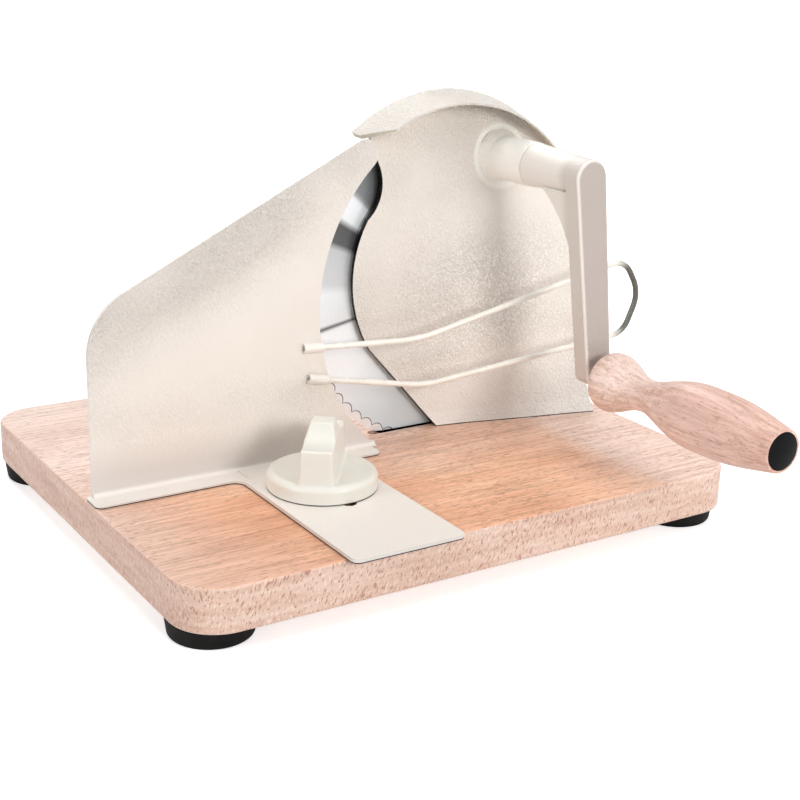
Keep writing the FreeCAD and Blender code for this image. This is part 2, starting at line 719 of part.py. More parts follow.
PINION_REAR = "bladePlane - bladeThickness / 2 - pinionToBlade"
GEAR_FRONT = "bladePlane - bladeThickness / 2 - gearThickness"
AXLE_FOOT = GEAR_FRONT + " - flangeRoom"
AXLE_END = "bladePlane + bladeThickness / 2 + slideGap"
axle_foot = blade_front - size("gearThickness") - size("flangeRoom")


def make_blade_bearing():
    stub = cylinder("axleStub", "axleStubRadius", "axleStubLength", BLADE_X, AXLE_FOOT, BLADE_Z, TO_FRONT)
    pin = cylinder("axlePin", "axleRadius", "(%s) - (%s)" % (AXLE_END, AXLE_FOOT), BLADE_X, AXLE_FOOT,
                   BLADE_Z, TO_BACK)
    thread = cylinder("axleThread", "bladeScrewRadius", "bladeScrewLength - bladeWasherThickness",
                      BLADE_X, AXLE_END, BLADE_Z, TO_FRONT)
    keep("blade_axle", cut("axleTapped", fuse("axleSolid", stub, pin), thread))

    sleeve = cylinder("bushSleeve", "bushRadius",
                      "bladePlane + bladeThickness / 2 - (%s) - slideGap" % AXLE_FOOT,
                      BLADE_X, AXLE_FOOT + " + slideGap", BLADE_Z, TO_BACK)
    flange = cylinder("bushFlange", "bushFlangeRadius", "(%s) - (%s) - slideGap" % (GEAR_FRONT, AXLE_FOOT),
                      BLADE_X, AXLE_FOOT + " + slideGap", BLADE_Z, TO_BACK)
    bore = cylinder("bushBore", "axleRadius + runningGap", "drill", BLADE_X, AXLE_FOOT + " - drill / 4",
                    BLADE_Z, TO_BACK)
    keep("blade_bush", cut("bushBored", fuse("bushSolid", sleeve, flange), bore))

    rivets = []
    for number, (x, z) in enumerate(rivet_places()):
        shank = cylinder("rivet%d" % number, "rivetRadius", "gearThickness + bladeThickness", str(x),
                         "bladePlane + bladeThickness / 2", str(z), TO_FRONT)
        head = cone("rivetHead%d" % number, "rivetRadius * 1.8", "rivetRadius", "rivetRadius * 0.5", str(x),
                    GEAR_FRONT, str(z), TO_FRONT)
        rivets.append(fuse("rivetSolid%d" % number, shank, head))
    keep("blade_rivets", group("bladeRivets", rivets))

    washer = cylinder("bladeWasherDisc", "bladeWasherRadius", "bladeWasherThickness", BLADE_X, AXLE_END,
                      BLADE_Z, TO_BACK)
    hole = cylinder("bladeWasherHole", "bladeScrewRadius", "bladeWasherThickness", BLADE_X, AXLE_END,
                    BLADE_Z, TO_BACK)
    keep("blade_washer", cut("bladeWasherRing", washer, hole))

    under_head = AXLE_END + " + bladeWasherThickness"
    head = cone("bladeScrewHeadCone", "bladeScrewHead", "bladeScrewHeadTop", "bladeScrewHeadHeight",
                BLADE_X, under_head, BLADE_Z, TO_BACK)
    shank = cylinder("bladeScrewShank", "bladeScrewRadius", "bladeScrewLength", BLADE_X, under_head,
                     BLADE_Z, TO_FRONT)
    driver = cylinder("bladeScrewSocket", "bladeScrewDriver", "bladeScrewHeadHeight", BLADE_X,
                      under_head + " + bladeScrewHeadHeight - bladeScrewDriverDepth", BLADE_Z, TO_BACK)
    keep("blade_screw", cut("bladeScrewSolid", fuse("bladeScrewBlank", head, shank), driver))


# Cast housing: a thin drafted shell with a crowned front and a hood over the blade's top.

# How fast the panel comes forward along X, left and right of the place where each height bends.
BASE_SLOPE_LEFT = 0.1
MIDDLE_SLOPE_LEFT = 0.17
MIDDLE_SLOPE_RIGHT = 0.139
TOP_SLOPE_LEFT = 0.189


def panel_y(x, z):
    """Front surface of the housing: y at a place x and a height z above the board.

    The depth is set at the board, at the bulge and at the top, with a parabola through the three.
    """
    middle_height = size("panelMiddle")
    top_height = size("panelTop")
    from_left = x - size("panelLeft")
    from_ridge = x - size("ridgeOffset")
    base = -size("panelDepth") - from_left * (size("panelSlope") if from_left > 0 else BASE_SLOPE_LEFT)
    middle = -size("panelBulge") - from_ridge * (MIDDLE_SLOPE_RIGHT if from_ridge > 0 else MIDDLE_SLOPE_LEFT)
    top = -size("panelBulge") - min(0, from_ridge) * TOP_SLOPE_LEFT
    top -= max(0, x - size("crownStart")) ** 2 / (2 * size("crownRadius"))
    low_share = (z - middle_height) * (z - top_height) / (middle_height * top_height)
    middle_share = z * (z - top_height) / (middle_height * (middle_height - top_height))
    high_share = z * (z - middle_height) / (top_height * (top_height - middle_height))
    return base * low_share + middle * middle_share + top * high_share


COLUMNS = 9
ROWS = 10


def panel_space(offset, low=None, high=None, flare=0.0):
    """Everything behind the front surface, moved back by an offset, between two heights.

    With a flare the surface comes forward evenly from the skirt's height down to the board.
    """
    low = -size("pillarRadius") if low is None else low
    high = size("hoodHeight") + size("hoodRearRadius") + size("pillarRadius") if high is None else high
    left = size("hoodTip") - size("hoodRearRadius") * 0.4
    right = size("housingRight") + size("hoodRearRadius") * 0.25
    rows = []
    for column in range(COLUMNS):
        x = left + (right - left) * column / (COLUMNS - 1)
        row = []
        for step in range(ROWS):
            z = low + (high - low) * step / (ROWS - 1)
            forward = flare * (1 - z / size("skirtHeight"))
            row.append(Vector(x, panel_y(x, z) + offset - forward, board_top + z))
        rows.append(row)
    surface = Part.BSplineSurface()
    surface.interpolate(rows)
    space = surface.toShape().extrude(BACK * (size("boardDepth") / 4))
    if space.Volume < 0:
        space.reverse()
    return space


def hood_step(y):
    return (size("hoodRearPlane") - y) / (size("hoodRearPlane") - size("hoodFrontPlane"))


def hood_circle(y):
    step = hood_step(y)
    x = size("hoodOffset") + step * (size("hoodFrontOffset") - size("hoodOffset"))
    z = size("hoodHeight") + step * (size("hoodFrontHeight") - size("hoodHeight"))
    radius = size("hoodRearRadius") + step * (size("hoodFrontRadius") - size("hoodRearRadius"))
    return x, board_top + z, radius


def way_out(inside, beyond, centre, radius):
    """Where the straight way from a place in a circle through another one leaves the circle."""
    along = (beyond - inside).normalize()
    to_centre = (centre - inside).dot(along)
    aside = (inside + along * to_centre - centre).Length
    return inside + along * (to_centre + math.sqrt(radius ** 2 - aside ** 2))


def housing_outline(y, inset, bottom):
    """Outline of the housing in the plane y, drawn inset by some distance."""
    x, z, radius = hood_circle(y)
    radius -= size("hoodStep") + inset
    shoulder = math.radians(size("housingShoulder"))
    right = size("housingRight") + (y - size("hoodRearPlane")) * size("housingDraft") - inset
    down = Vector(math.sin(shoulder), 0, -math.cos(shoulder))
    left = size("housingNeck") + inset
    edge_lean = (size("edgeFoot") - size("edgeBend")) / size("edgeBendHeight")
    lower_inset = inset * math.hypot(1, edge_lean)

    def on_edge(px, pz, shift):
        return in_front_view(px + shift, board_top + pz, y)

    low_left = on_edge(size("edgeFoot") - bottom * edge_lean, bottom, lower_inset)
    bend = on_edge(size("edgeBend"), size("edgeBendHeight"), lower_inset)
    hollow = on_edge(size("edgeHollow"), size("edgeHollowHeight"), inset)
    waist = on_edge(size("edgeWaist"), size("edgeWaistHeight"), inset)
    knee = on_edge(size("edgeKnee"), size("edgeKneeHeight"), inset)
    neck = on_edge(size("edgeNeck"), size("edgeNeckHeight"), inset)
    under_hood = in_front_view(left, board_top + size("housingNeckHeight"), y)
    arc_left = in_front_view(left, z + math.sqrt(radius ** 2 - (left - x) ** 2), y)
    if under_hood.z > arc_left.z - 1:
        arc_left = way_out(neck, under_hood, in_front_view(x, z, y), radius)
        under_hood = (neck + arc_left) / 2
    arc_right = in_front_view(x + radius * math.cos(shoulder), z + radius * math.sin(shoulder), y)
    steep = (shoulder + math.pi / 2) / 2
    arc_top = in_front_view(x + radius * math.cos(steep), z + radius * math.sin(steep), y)
    corner = arc_right + down * ((right - arc_right.x) / down.x)
    rounding = size("housingShoulderRound")
    reach = rounding * math.tan(shoulder / 2)
    bend_start = corner - down * reach
    bend_end = corner - UP * reach
    half = shoulder / 2
    bend_middle = bend_end + Vector(math.cos(half) - 1, 0, math.sin(half)) * rounding
    flare_height = size("housingFlareHeight")
    flare_start = in_front_view(right, board_top + flare_height, y)
    flare = size("housingFlare") * (1 - bottom / flare_height)
    low_right = in_front_view(right + flare, board_top + bottom, y)
    return Part.Wire([
        line(low_left, bend),
        arc(bend, hollow, waist),
        arc(waist, knee, neck),
        line(neck, under_hood),
        line(under_hood, arc_left),
        arc(arc_left, arc_top, arc_right),
        line(arc_right, bend_start),
        arc(bend_start, bend_middle, bend_end),
        line(bend_end, flare_start),
        line(flare_start, low_right),
        line(low_right, low_left),
    ])


def housing_prism(inset, bottom, rear):
    front = size("hoodFrontPlane") - size("pillarRadius") * 2.7
    outlines = [housing_outline(y, inset, bottom) for y in (rear, front)]
    return Part.makeLoft(outlines, True, True)


def hood_ring(rear_inset, front_inset):
    wires = []
    for y, inset in ((size("hoodRearPlane"), rear_inset), (size("hoodFrontPlane"), front_inset)):
        x, z, radius = hood_circle(y)
        wires.append(Part.Wire(Part.makeCircle(radius - inset, in_front_view(x, z, y), FRONT)))
    return Part.makeLoft(wires, True, True)


def slab(points, thickness):
    return Part.Face(Part.makePolygon(points + [points[0]])).extrude(thickness)


def hood():
    band = hood_ring(0, 0).cut(hood_ring(size("hoodWall"), size("hoodRim")))
    angle = math.radians(size("hoodTipAngle"))
    along = Vector(math.cos(angle), 0, math.sin(angle))
    inward = Vector(math.sin(angle), 0, -math.cos(angle))
    tip = in_front_view(size("hoodTip"), board_top + size("hoodTipHeight"), 0)
    rear = size("hoodRearPlane") + 1
    front = size("hoodFrontPlane") - 1
    radius = size("hoodRearRadius")

    def beside(y, distance):
        return tip + BACK * y + along * distance - inward * (radius / 5)

    left_end = slab([beside(rear, -radius), beside(rear, 0), beside(size("hoodTipDepth"), 0),
                     beside(front, size("hoodTipSlant")), beside(front, -radius)], inward * (radius / 2))
    middle = size("hoodOffset")
    left_low = board_top + size("hoodLeftLow") - far
    right_low = board_top + size("hoodRightLow") - far
    below = [Part.makeBox(far, far, far, Vector(middle - far, -far / 2, left_low)),
             Part.makeBox(far, far, far, Vector(middle, -far / 2, right_low))]
    housing_rear = size("housingRear") + size("slideGap")
    runout = board_top + size("hoodRightLow") + 4
    right_rear = slab([in_front_view(middle, board_top, housing_rear),
                       in_front_view(middle, runout, housing_rear),
                       in_front_view(middle, runout + size("hoodRunout"), rear),
                       in_front_view(middle, board_top, rear)], Vector(far, 0, 0))
    sweep = Part.makeCylinder(size("bladeRadius") + 2.5, far, Vector(blade_x, housing_rear, blade_z), BACK)
    return band.cut([left_end, right_rear, sweep] + below)


def make_housing():
    rear = size("housingRear")
    wall = size("wall")
    behind = Part.makeBox(far, far, far, Vector(-far / 2, rear, -far / 2))
    outer = housing_prism(0, 0, rear).common(panel_space(0)).cut(behind)
    inner = housing_prism(wall, -3, rear + 0.5).common(panel_space(wall))
    shell = outer.cut(inner)

    boss_rear = PINION_FRONT_Y - size("gearRoom") / 2
    boss = Part.makeCylinder(size("bossRadius"), boss_rear - size("bossFront"),
                             Vector(crank_x, size("bossFront"), crank_z), BACK)
    boss_edges = [edge for edge in boss.Edges if abs(edge.BoundBox.YMax - size("bossFront")) < 0.001]
    boss = boss.makeFillet(0.8, boss_edges)
    panel_at_boss = panel_y(crank_x, crank_z - board_top)
    collar = Part.makeCone(size("bossRadius"), size("bossCollar"), size("bossCollarLength"),
                           Vector(crank_x, panel_at_boss - size("bossCollarLength") + 1, crank_z), BACK)
    panel_at_axle = panel_y(blade_x, blade_z - board_top)
    axle_boss = Part.makeCylinder(size("axleStubRadius") + 5, axle_foot - panel_at_axle,
                                  Vector(blade_x, panel_at_axle, blade_z), BACK)
    axle_boss = axle_boss.common(panel_space(wall / 2))
    skirt = housing_prism(0, 0, rear).common(panel_space(0, -1.0, size("skirtHeight"), size("skirtReach")))
    skirt = skirt.cut([behind, inner])
    solids = [skirt, hood(), boss, collar, axle_boss]
    for x in HOUSING_SCREWS_X:
        y = housing_screw_y(x)
        pillar = Part.makeCylinder(size("pillarRadius"), size("pillarHeight"), Vector(x, y, board_top), UP)
        solids.append(pillar.common(panel_space(wall / 2)))
    body = shell.fuse(solids)

    room = size("gearRoom")
    gear_tip = size("gearModule") * (size("gearTeeth") / 2 + 1)
    pinion_tip = size("gearModule") * (size("pinionTeeth") / 2 + 1)
    gear_front = blade_front - size("gearThickness")
    cutters = [
        Part.makeCylinder(size("shaftBushRadius"), far, Vector(crank_x, -far / 2, crank_z), BACK),
        Part.makeCylinder(gear_tip + room, far, Vector(blade_x, gear_front - room, blade_z), BACK).cut(
            Part.makeCylinder(size("bushFlangeRadius") + 3, far,
                              Vector(blade_x, gear_front - room - 1, blade_z), BACK)),
        Part.makeCylinder(pinion_tip + room, far, Vector(crank_x, PINION_FRONT_Y - 0.3, crank_z), BACK),
        Part.makeCylinder(size("axleStubRadius"), size("axleStubLength"),
                          Vector(blade_x, axle_foot, blade_z), FRONT),
    ]
    for x in HOUSING_SCREWS_X:
        cutters.append(Part.makeCylinder(
            size("housingScrewRadius"), size("housingScrewBite") + 1,
            Vector(x, housing_screw_y(x), board_top), UP))
    keep("housing", shape_object("housingCasting", body.cut(cutters).removeSplitter()))


def make_housing_screws():
    screws = []
    for number, x in enumerate(HOUSING_SCREWS_X):
        place_x = str(x)
        place_y = str(housing_screw_y(x))
        head = cone("housingHead%d" % number, "housingScrewHead", "housingScrewRadius",
                    "housingScrewHead - housingScrewRadius", place_x, place_y)
        shank = cylinder("housingShank%d" % number, "housingScrewRadius",
                         "boardThickness + housingScrewBite", place_x, place_y)
        socket = cylinder("housingSocket%d" % number, "housingDriver", "housingDriverDepth", place_x, place_y)
        blank = fuse("housingScrewBlank%d" % number, head, shank)
        screws.append(cut("housingScrew%d" % number, blank, socket))
    keep("housing_screws", group("housingScrews", screws))


# Crank: shaft in two bushes, arm with its hub, and the wooden grip on a shoulder bolt.

PINION_FRONT = PINION_REAR + " - pinionThickness"
SHAFT_FRONT = "armBack + shaftStop"


def make_crank_bearing():
    places = [("shaft_bush_front", "bossFront"),
              ("shaft_bush_rear", PINION_FRONT + " - slideGap - shaftBushLength")]
    for name, front in places:
        sleeve = cylinder(name + "Sleeve", "shaftBushRadius", "shaftBushLength", CRANK_X, front, CRANK_Z,
                          TO_BACK)
        bore = cylinder(name + "Bore", "shaftRadius + runningGap", "shaftBushLength", CRANK_X, front,
                        CRANK_Z, TO_BACK)
        keep(name, cut(name + "Bush", sleeve, bore))
    shaft = cylinder("crankShaftRod", "shaftRadius", "(%s) - (%s)" % (PINION_REAR, SHAFT_FRONT), CRANK_X,
                     SHAFT_FRONT, CRANK_Z, TO_BACK)
    ends = round_edges("crankShaftEnds", shaft, 0.6, lambda edge: edge.BoundBox.YLength < 0.001)
    keep("crank_shaft", ends)
    ring = cylinder("thrustDisc", "bossRadius - 1", "thrustThickness", CRANK_X,
                    "bossFront - thrustThickness", CRANK_Z, TO_BACK)
    hole = cylinder("thrustHole", "shaftRadius + runningGap", "thrustThickness", CRANK_X,
                    "bossFront - thrustThickness", CRANK_Z, TO_BACK)
    keep("crank_washer", cut("thrustWasher", ring, hole))


def make_crank_arm():
    hub_rear = size("bossFront") - size("thrustThickness") - size("slideGap")
    arm_back = size("armBack")
    throw = size("crankThrow")
    top = size("armTopRadius")
    end = size("armEndWidth")
    lean_back = math.asin((top - end) / throw)
    side = Vector(math.cos(lean_back), 0, -math.sin(lean_back))
    mirrored = Vector(-side.x, 0, side.z)
    low = Vector(0, 0, -throw)
    outline = face([
        arc(mirrored * top, Vector(0, 0, top), side * top),
        line(side * top, low + side * end),
        arc(low + side * end, low - UP * size("armEndReach"), low + mirrored * end),
        line(low + mirrored * end, mirrored * top),
    ])
    outline.translate(Vector(0, arm_back, 0))
    bar = outline.extrude(FRONT * size("armThickness"))
    long_edges = [edge for edge in bar.Edges if edge.BoundBox.YLength < 0.001]
    bar = bar.makeFillet(size("armEdge"), long_edges)

    root = arm_back - size("hubRoot")
    hub = Part.makeCone(size("hubFrontRadius"), size("hubRadius"), hub_rear - root, Vector(0, root, 0), BACK)
    rim = [edge for edge in hub.Edges if abs(edge.BoundBox.YMin - hub_rear) < 0.001]
    hub = hub.makeFillet(1.2, rim)

    half = size("gussetWidth") / 2
    under = -size("hubFrontRadius")
    web_start = Vector(-half, hub_rear - size("gussetStart"), under + 2)
    web_bend = Vector(-half, arm_back + size("gussetBelly"), under - size("gussetDrop"))
    web_end = Vector(-half, root, under - size("gussetReach"))
    inner = Vector(-half, root, under + 2)
    web = face([arc(web_start, web_bend, web_end), line(web_end, inner), line(inner, web_start)])
    web = web.extrude(Vector(2 * half, 0, 0))

    casting = bar.fuse([hub, web]).removeSplitter()
    shaft_end = arm_back + size("shaftStop")
    shaft_hole = Part.makeCylinder(size("shaftRadius"), hub_rear - shaft_end, Vector(0, shaft_end, 0), BACK)
    pin_hole = Part.makeCylinder(size("spindleRadius"), far, Vector(0, -far / 2, -throw), BACK)
    grub_hole = Part.makeCylinder(size("grubRadius"), size("hubRadius") + 3, Vector(0, grub_y(), 0),
                                  Vector(1, 0, 0))
    arm = shape_object("crankCasting", casting.cut([shaft_hole, pin_hole, grub_hole]))
    keep("crank_arm", on_crank(arm))

    sideways = Vector(1, 0, 0)
    seat = Vector(size("shaftRadius"), grub_y(), 0)
    screw = Part.makeCylinder(size("grubRadius"), size("grubLength"), seat, sideways)
    socket_start = seat + sideways * (size("grubLength") - size("grubSocketDepth"))
    socket = Part.makeCylinder(size("grubSocket"), size("grubSocketDepth"), socket_start, sideways)
    keep("crank_grub_screw", on_crank(shape_object("grubScrew", screw.cut(socket))))


def grub_y():
    return (size("bossFront") + size("armBack")) / 2


def on_crank(item):
    """Turns an item about the crank axis to the arm's position at rest."""
    leaning = FreeCAD.Rotation(FRONT, size("crankLean"))
    item.Placement = FreeCAD.Placement(Vector(crank_x, 0, crank_z), leaning)
    bind(item, "Placement.Base.x", CRANK_X)
    bind(item, "Placement.Base.z", CRANK_Z)
    bind(item, "Placement.Rotation.Angle", "crankLean")
    return item


NUT_REAR = "armBack - armThickness"
GRIP_REAR = NUT_REAR + " - nutHeight - gripWasherThickness - slideGap"
BOLT_HEAD = GRIP_REAR + " - gripLength + counterboreDepth - slideGap"
GRIP_FRONT = GRIP_REAR + " - gripLength"
grip_rear = (size("armBack") - size("armThickness") - size("nutHeight") - size("gripWasherThickness")
             - size("slideGap"))
grip_front = grip_rear - size("gripLength")


def hexagon(across, y, x, z):
    radius = across / math.sqrt(3)
    corners = []
    for number in range(6):
        angle = math.radians(60 * number)
        corners.append(in_front_view(x + radius * math.cos(angle), z + radius * math.sin(angle), y))
    return Part.Face(Part.makePolygon(corners + [corners[0]]))


def make_handle():
    head = cylinder("spindleHeadDisc", "spindleHead", "spindleHeadHeight", GRIP_X, BOLT_HEAD, GRIP_Z,
                    TO_FRONT)
    rod = cylinder("spindleRod", "spindleRadius", "armBack + spindleEnd - (%s)" % BOLT_HEAD, GRIP_X,
                   BOLT_HEAD, GRIP_Z, TO_BACK)
    socket = cylinder("spindleSocketHole", "spindleSocket", "spindleSocketDepth", GRIP_X,
                      BOLT_HEAD + " - spindleHeadHeight", GRIP_Z, TO_BACK)
    keep("handle_spindle", cut("spindleBolt", fuse("spindleBlank", head, rod), socket))

    nut_rear = size("armBack") - size("armThickness")
    nut = hexagon(size("nutAcross"), nut_rear, grip_x, grip_z).extrude(FRONT * size("nutHeight"))
    corner_radius = size("nutAcross") / math.sqrt(3)
    narrow = corner_radius - size("nutChamfer")
    seat = Vector(grip_x, nut_rear, grip_z)
    chamfer = Part.makeCone(narrow + size("nutHeight"), narrow, size("nutHeight"), seat, FRONT)
    bore = Part.makeCylinder(size("spindleRadius"), size("nutHeight"), seat, FRONT)
    keep("handle_nut", shape_object("lockNut", nut.common(chamfer).cut(bore)))

    washer = cylinder("gripWasherDisc", "gripWasherRadius", "gripWasherThickness", GRIP_X,
                      NUT_REAR + " - nutHeight", GRIP_Z, TO_FRONT)
    hole = cylinder("gripWasherHole", "spindleRadius", "gripWasherThickness", GRIP_X,
                    NUT_REAR + " - nutHeight", GRIP_Z, TO_FRONT)
    keep("handle_washer", cut("gripWasher", washer, hole))

    flare = size("gripFlare")
    neck = size("gripNeck")
    belly = size("gripBelly")
    end = size("gripEnd")
    # Share of the length from the rear end, and the radius there.
    profile = [
        (0.010, flare - 0.9), (0.035, flare), (0.09, flare - 1.0), (0.17, (flare + neck) / 2 - 1.5),
        (0.26, neck), (0.36, neck + 3.0), (0.50, belly - 0.8), (0.64, belly), (0.80, belly - 1.3),
        (0.93, (belly + end) / 2 - 1.2), (0.995, end + 0.3),
    ]
    length = size("gripLength")
    outer = [Vector(grip_x + radius, grip_rear - fraction * length, grip_z) for fraction, radius in profile]
    curve = Part.BSplineCurve()
    curve.interpolate(outer)
    on_axis_rear = Vector(grip_x, grip_rear, grip_z)
    on_axis_front = Vector(grip_x, grip_front, grip_z)
    rear_rim = Vector(grip_x + flare - 2.4, grip_rear, grip_z)
    front_rim = Vector(grip_x + end - 0.2, grip_front, grip_z)
    half = Part.Face(Part.Wire([
        line(on_axis_rear, rear_rim), line(rear_rim, outer[0]), curve.toShape(), line(outer[-1], front_rim),
        line(front_rim, on_axis_front), line(on_axis_front, on_axis_rear),
    ]))
    wood = half.revolve(on_axis_rear, BACK, 360)
    turned = shape_object("gripTurned", wood)
    holes = group("gripHoles", [
        cylinder("gripBore", "spindleRadius + runningGap", "gripLength", GRIP_X, GRIP_FRONT, GRIP_Z, TO_BACK),
        cylinder("gripCounterbore", "counterbore", "counterboreDepth", GRIP_X, GRIP_FRONT, GRIP_Z, TO_BACK),
        cylinder("gripCapSeat", "capRadius", "capDisc", GRIP_X, GRIP_FRONT, GRIP_Z, TO_BACK),
    ])
    keep("handle_grip", cut("gripBored", turned, holes))

    radius = size("capRadius")
    disc = Part.makeCylinder(radius, size("capDisc"), Vector(grip_x, grip_front, grip_z), BACK)
    plug = Part.makeCylinder(size("counterbore"), size("capPlug"), Vector(grip_x, grip_front, grip_z), BACK)
    dome_top = Vector(grip_x, grip_front - size("capDome"), grip_z)
    middle = Vector(grip_x + radius / 2, grip_front - size("capDome") * 0.75, grip_z)
    rim = Vector(grip_x + radius, grip_front, grip_z)
    dome = Part.Face(Part.Wire([arc(dome_top, middle, rim), line(rim, on_axis_front),
                                line(on_axis_front, dome_top)])).revolve(on_axis_front, BACK, 360)
    keep("handle_end_cap", shape_object("endCap", disc.fuse([plug, dome]).removeSplitter()))


# Stop plate with its foot and tongue, and the wire bow that holds the slices.

def fence_outline():
    left = size("fenceLeft")
    slope = math.radians(size("fenceSlope"))
    hollow = size("fenceArcRadius")
    nose = size("fenceNose")
    centre = in_front_view(size("fenceArcOffset"), blade_z)
    vertex = in_front_view(left, board_top + size("fenceCornerHeight"))
    along = Vector(math.cos(slope), 0, math.sin(slope))
    inward = Vector(math.sin(slope), 0, -math.cos(slope))
    from_centre = vertex + inward * nose - centre
    half_b = from_centre.dot(along)
    root = math.sqrt(half_b ** 2 - from_centre.Length ** 2 + (hollow + nose) ** 2)
    run = -half_b - root
    tip = vertex + along * run
    nose_centre = tip + inward * nose
    touch = centre + (nose_centre - centre).normalize() * hollow
    nose_top = nose_centre + ((tip - nose_centre) + (touch - nose_centre)).normalize() * nose

    bottom = board_top + size("slideGap")
    step = bottom + size("ledgeThickness")
    foot = in_front_view(fence_foot_x(), step)
    low_right = in_front_view(foot.x, bottom)
    low_left = in_front_view(left, bottom)
    reach = size("fenceCorner") * math.tan((math.pi / 2 - slope) / 2)
    corner_start = vertex - UP * reach
    corner_end = vertex + along * reach
    corner_centre = corner_start + Vector(size("fenceCorner"), 0, 0)
    corner_middle = corner_centre + (vertex - corner_centre).normalize() * size("fenceCorner")
    hollow_middle = centre - Vector(hollow, 0, 0)
    return Part.Face(Part.Wire([
        line(low_left, corner_start), arc(corner_start, corner_middle, corner_end), line(corner_end, tip),
        arc(tip, nose_top, touch), arc(touch, hollow_middle, foot), line(foot, low_right),
        line(low_right, low_left),
    ]))


def wire_point(x, z):
    lean_forward = math.tan(math.radians(size("wireTilt")))
    forward = size("wireStandoff") + lean_forward * (x - size("wireRoot"))
    return Vector(x, size("fenceFront") - forward, board_top + z)


# Corners of the wire bow before bending: right of the board's middle, and above the board.
WIRE_CORNERS = [(-41, 65.3), (26, 64.2), (158.5, 101.3), (170.2, 80), (161, 55.7), (30, 36.6), (-38, 47.6)]
WIRE_BENDS = [90, 12, 20, 14, 60]


def rounded_path(points, radii):
    """An open run of straight lines with tangent bends at the inner points."""
    edges = []
    here = points[0]
    for number, radius in enumerate(radii, start=1):
        corner = points[number]
        before = (points[number - 1] - corner).normalize()
        after = (points[number + 1] - corner).normalize()
        half = before.getAngle(after) / 2
        middle = (before + after).normalize()
        centre = corner + middle * (radius / math.sin(half))
        first = corner + before * (radius / math.tan(half))
        last = corner + after * (radius / math.tan(half))
        edges.append(line(here, first))
        edges.append(arc(first, centre - middle * radius, last))
        here = last
    edges.append(line(here, points[-1]))
    return Part.Wire(edges)


def wire_points():
    return [wire_point(x, z) for x, z in WIRE_CORNERS]


def sockets():
    """Start and direction of the two sockets, each on the straight end of the wire."""
    points = wire_points()
    ends = [(points[0], points[1]), (points[-1], points[-2])]
    return [(start, (bend - start).normalize()) for start, bend in ends]


def fence_foot_x():
    """Where the plate's hollow right edge meets the top of its foot."""
    down = size("bladeHeight") - size("slideGap") - size("ledgeThickness")
    return size("fenceArcOffset") - math.sqrt(size("fenceArcRadius") ** 2 - down ** 2)


def guide_tongue(bottom, foot_top):
    """The tongue, joined to the plate's foot by a ramp beside its edge on either side."""
    inner = size("tongueInnerCorner")
    outer = size("tongueCorner")
    front = size("tongueFront")
    left = size("tongueLeft")
    right = size("tongueRight")
    foot_front = size("ledgeFront")
    plate_front = size("fenceFront")
    tongue = rounded_loop([
        Vector(left, front, bottom), Vector(right, front, bottom),
        Vector(right, foot_front, bottom), Vector(right + 2 * inner, foot_front, bottom),
        Vector(right + 2 * inner, plate_front, bottom), Vector(left - 2 * inner, plate_front, bottom),
        Vector(left - 2 * inner, foot_front, bottom), Vector(left, foot_front, bottom),
    ], [outer, outer, inner, 0, 0, 0, 0, inner]).extrude(UP * size("tongueThickness"))
    top = bottom + size("tongueThickness")
    ramp_front = size("tongueRampFront")
    ramp_back = size("tongueRampBack")
    over = bottom + far

    def beside(x, reach):
        profile = [(ramp_front, top), (ramp_back, foot_top), (plate_front, foot_top), (plate_front, over),
                   (ramp_front, over)]
        return slab([Vector(x, y, z) for y, z in profile], Vector(reach, 0, 0))

    shoulder = size("tongueShoulder")
    return tongue.cut([beside(left + shoulder, -far), beside(right - shoulder, far)])


def make_fence():
    plate = fence_outline()
    plate.translate(Vector(0, size("fenceFront"), 0))
    plate = plate.extrude(BACK * size("fenceThickness"))
    bottom = board_top + size("slideGap")
    front = size("fenceFront")
    back = front + size("fenceThickness")
    left = size("fenceLeft") - size("ledgeOverhang")
    foot_front = size("ledgeFront")
    foot_top = bottom + size("ledgeThickness")
    ledge = rounded_loop([
        Vector(left, back, bottom), Vector(left, foot_front, bottom),
        Vector(size("ledgeRight"), foot_front, bottom), Vector(size("ledgeRight"), back, bottom),
    ], [1.5, 4, 4, 1.5]).extrude(UP * size("ledgeThickness"))
    rounding = size("ledgeBend")
    arc_middle = rounding * (1 - math.sqrt(0.5))
    bend_left = Vector(size("fenceLeft"), front, foot_top)
    bend = face([
        line(bend_left, bend_left + FRONT * rounding),
        arc(bend_left + FRONT * rounding, bend_left + FRONT * arc_middle + UP * arc_middle,
            bend_left + UP * rounding),
        line(bend_left + UP * rounding, bend_left),
    ]).extrude(Vector(fence_foot_x() - size("fenceLeft"), 0, 0))

    tongue = guide_tongue(bottom, foot_top)

    tubes = []
    holes = []
    for start, direction in sockets():
        mouth = start - direction * size("socketMouth")
        length = size("socketLength") + size("socketMouth")
        tubes.append(Part.makeCylinder(size("socketRadius"), length - 1, mouth, direction))
        holes.append(Part.makeCylinder(size("wireRadius"), length, mouth, direction))
    slot_half = size("studRadius") + size("slotPlay")
    slot_front = size("knobY") - size("travel") - size("slotSpare")
    slot_back = size("knobY") + size("slotBack")
    left = size("knobX") - slot_half
    right = size("knobX") + slot_half
    slot = rounded_loop([
        Vector(left, slot_front, bottom), Vector(right, slot_front, bottom),
        Vector(right, slot_back, bottom), Vector(left, slot_back, bottom),
    ], [slot_half - 0.01] * 4).extrude(UP * size("drill"))
    body = plate.fuse([ledge, bend, tongue] + tubes).removeSplitter()
    keep("stop_fence", shape_object("stopPlate", body.cut(holes + [slot])))


def make_wire():
    points = wire_points()
    path = rounded_path(points, WIRE_BENDS)
    section = Part.Wire(Part.makeCircle(size("wireRadius"), points[0], points[1] - points[0]))
    keep("slice_wire", shape_object("wireBow", path.makePipeShell([section], True, False)))


# Clamp knob with its stud, washer and the threaded insert in the board.

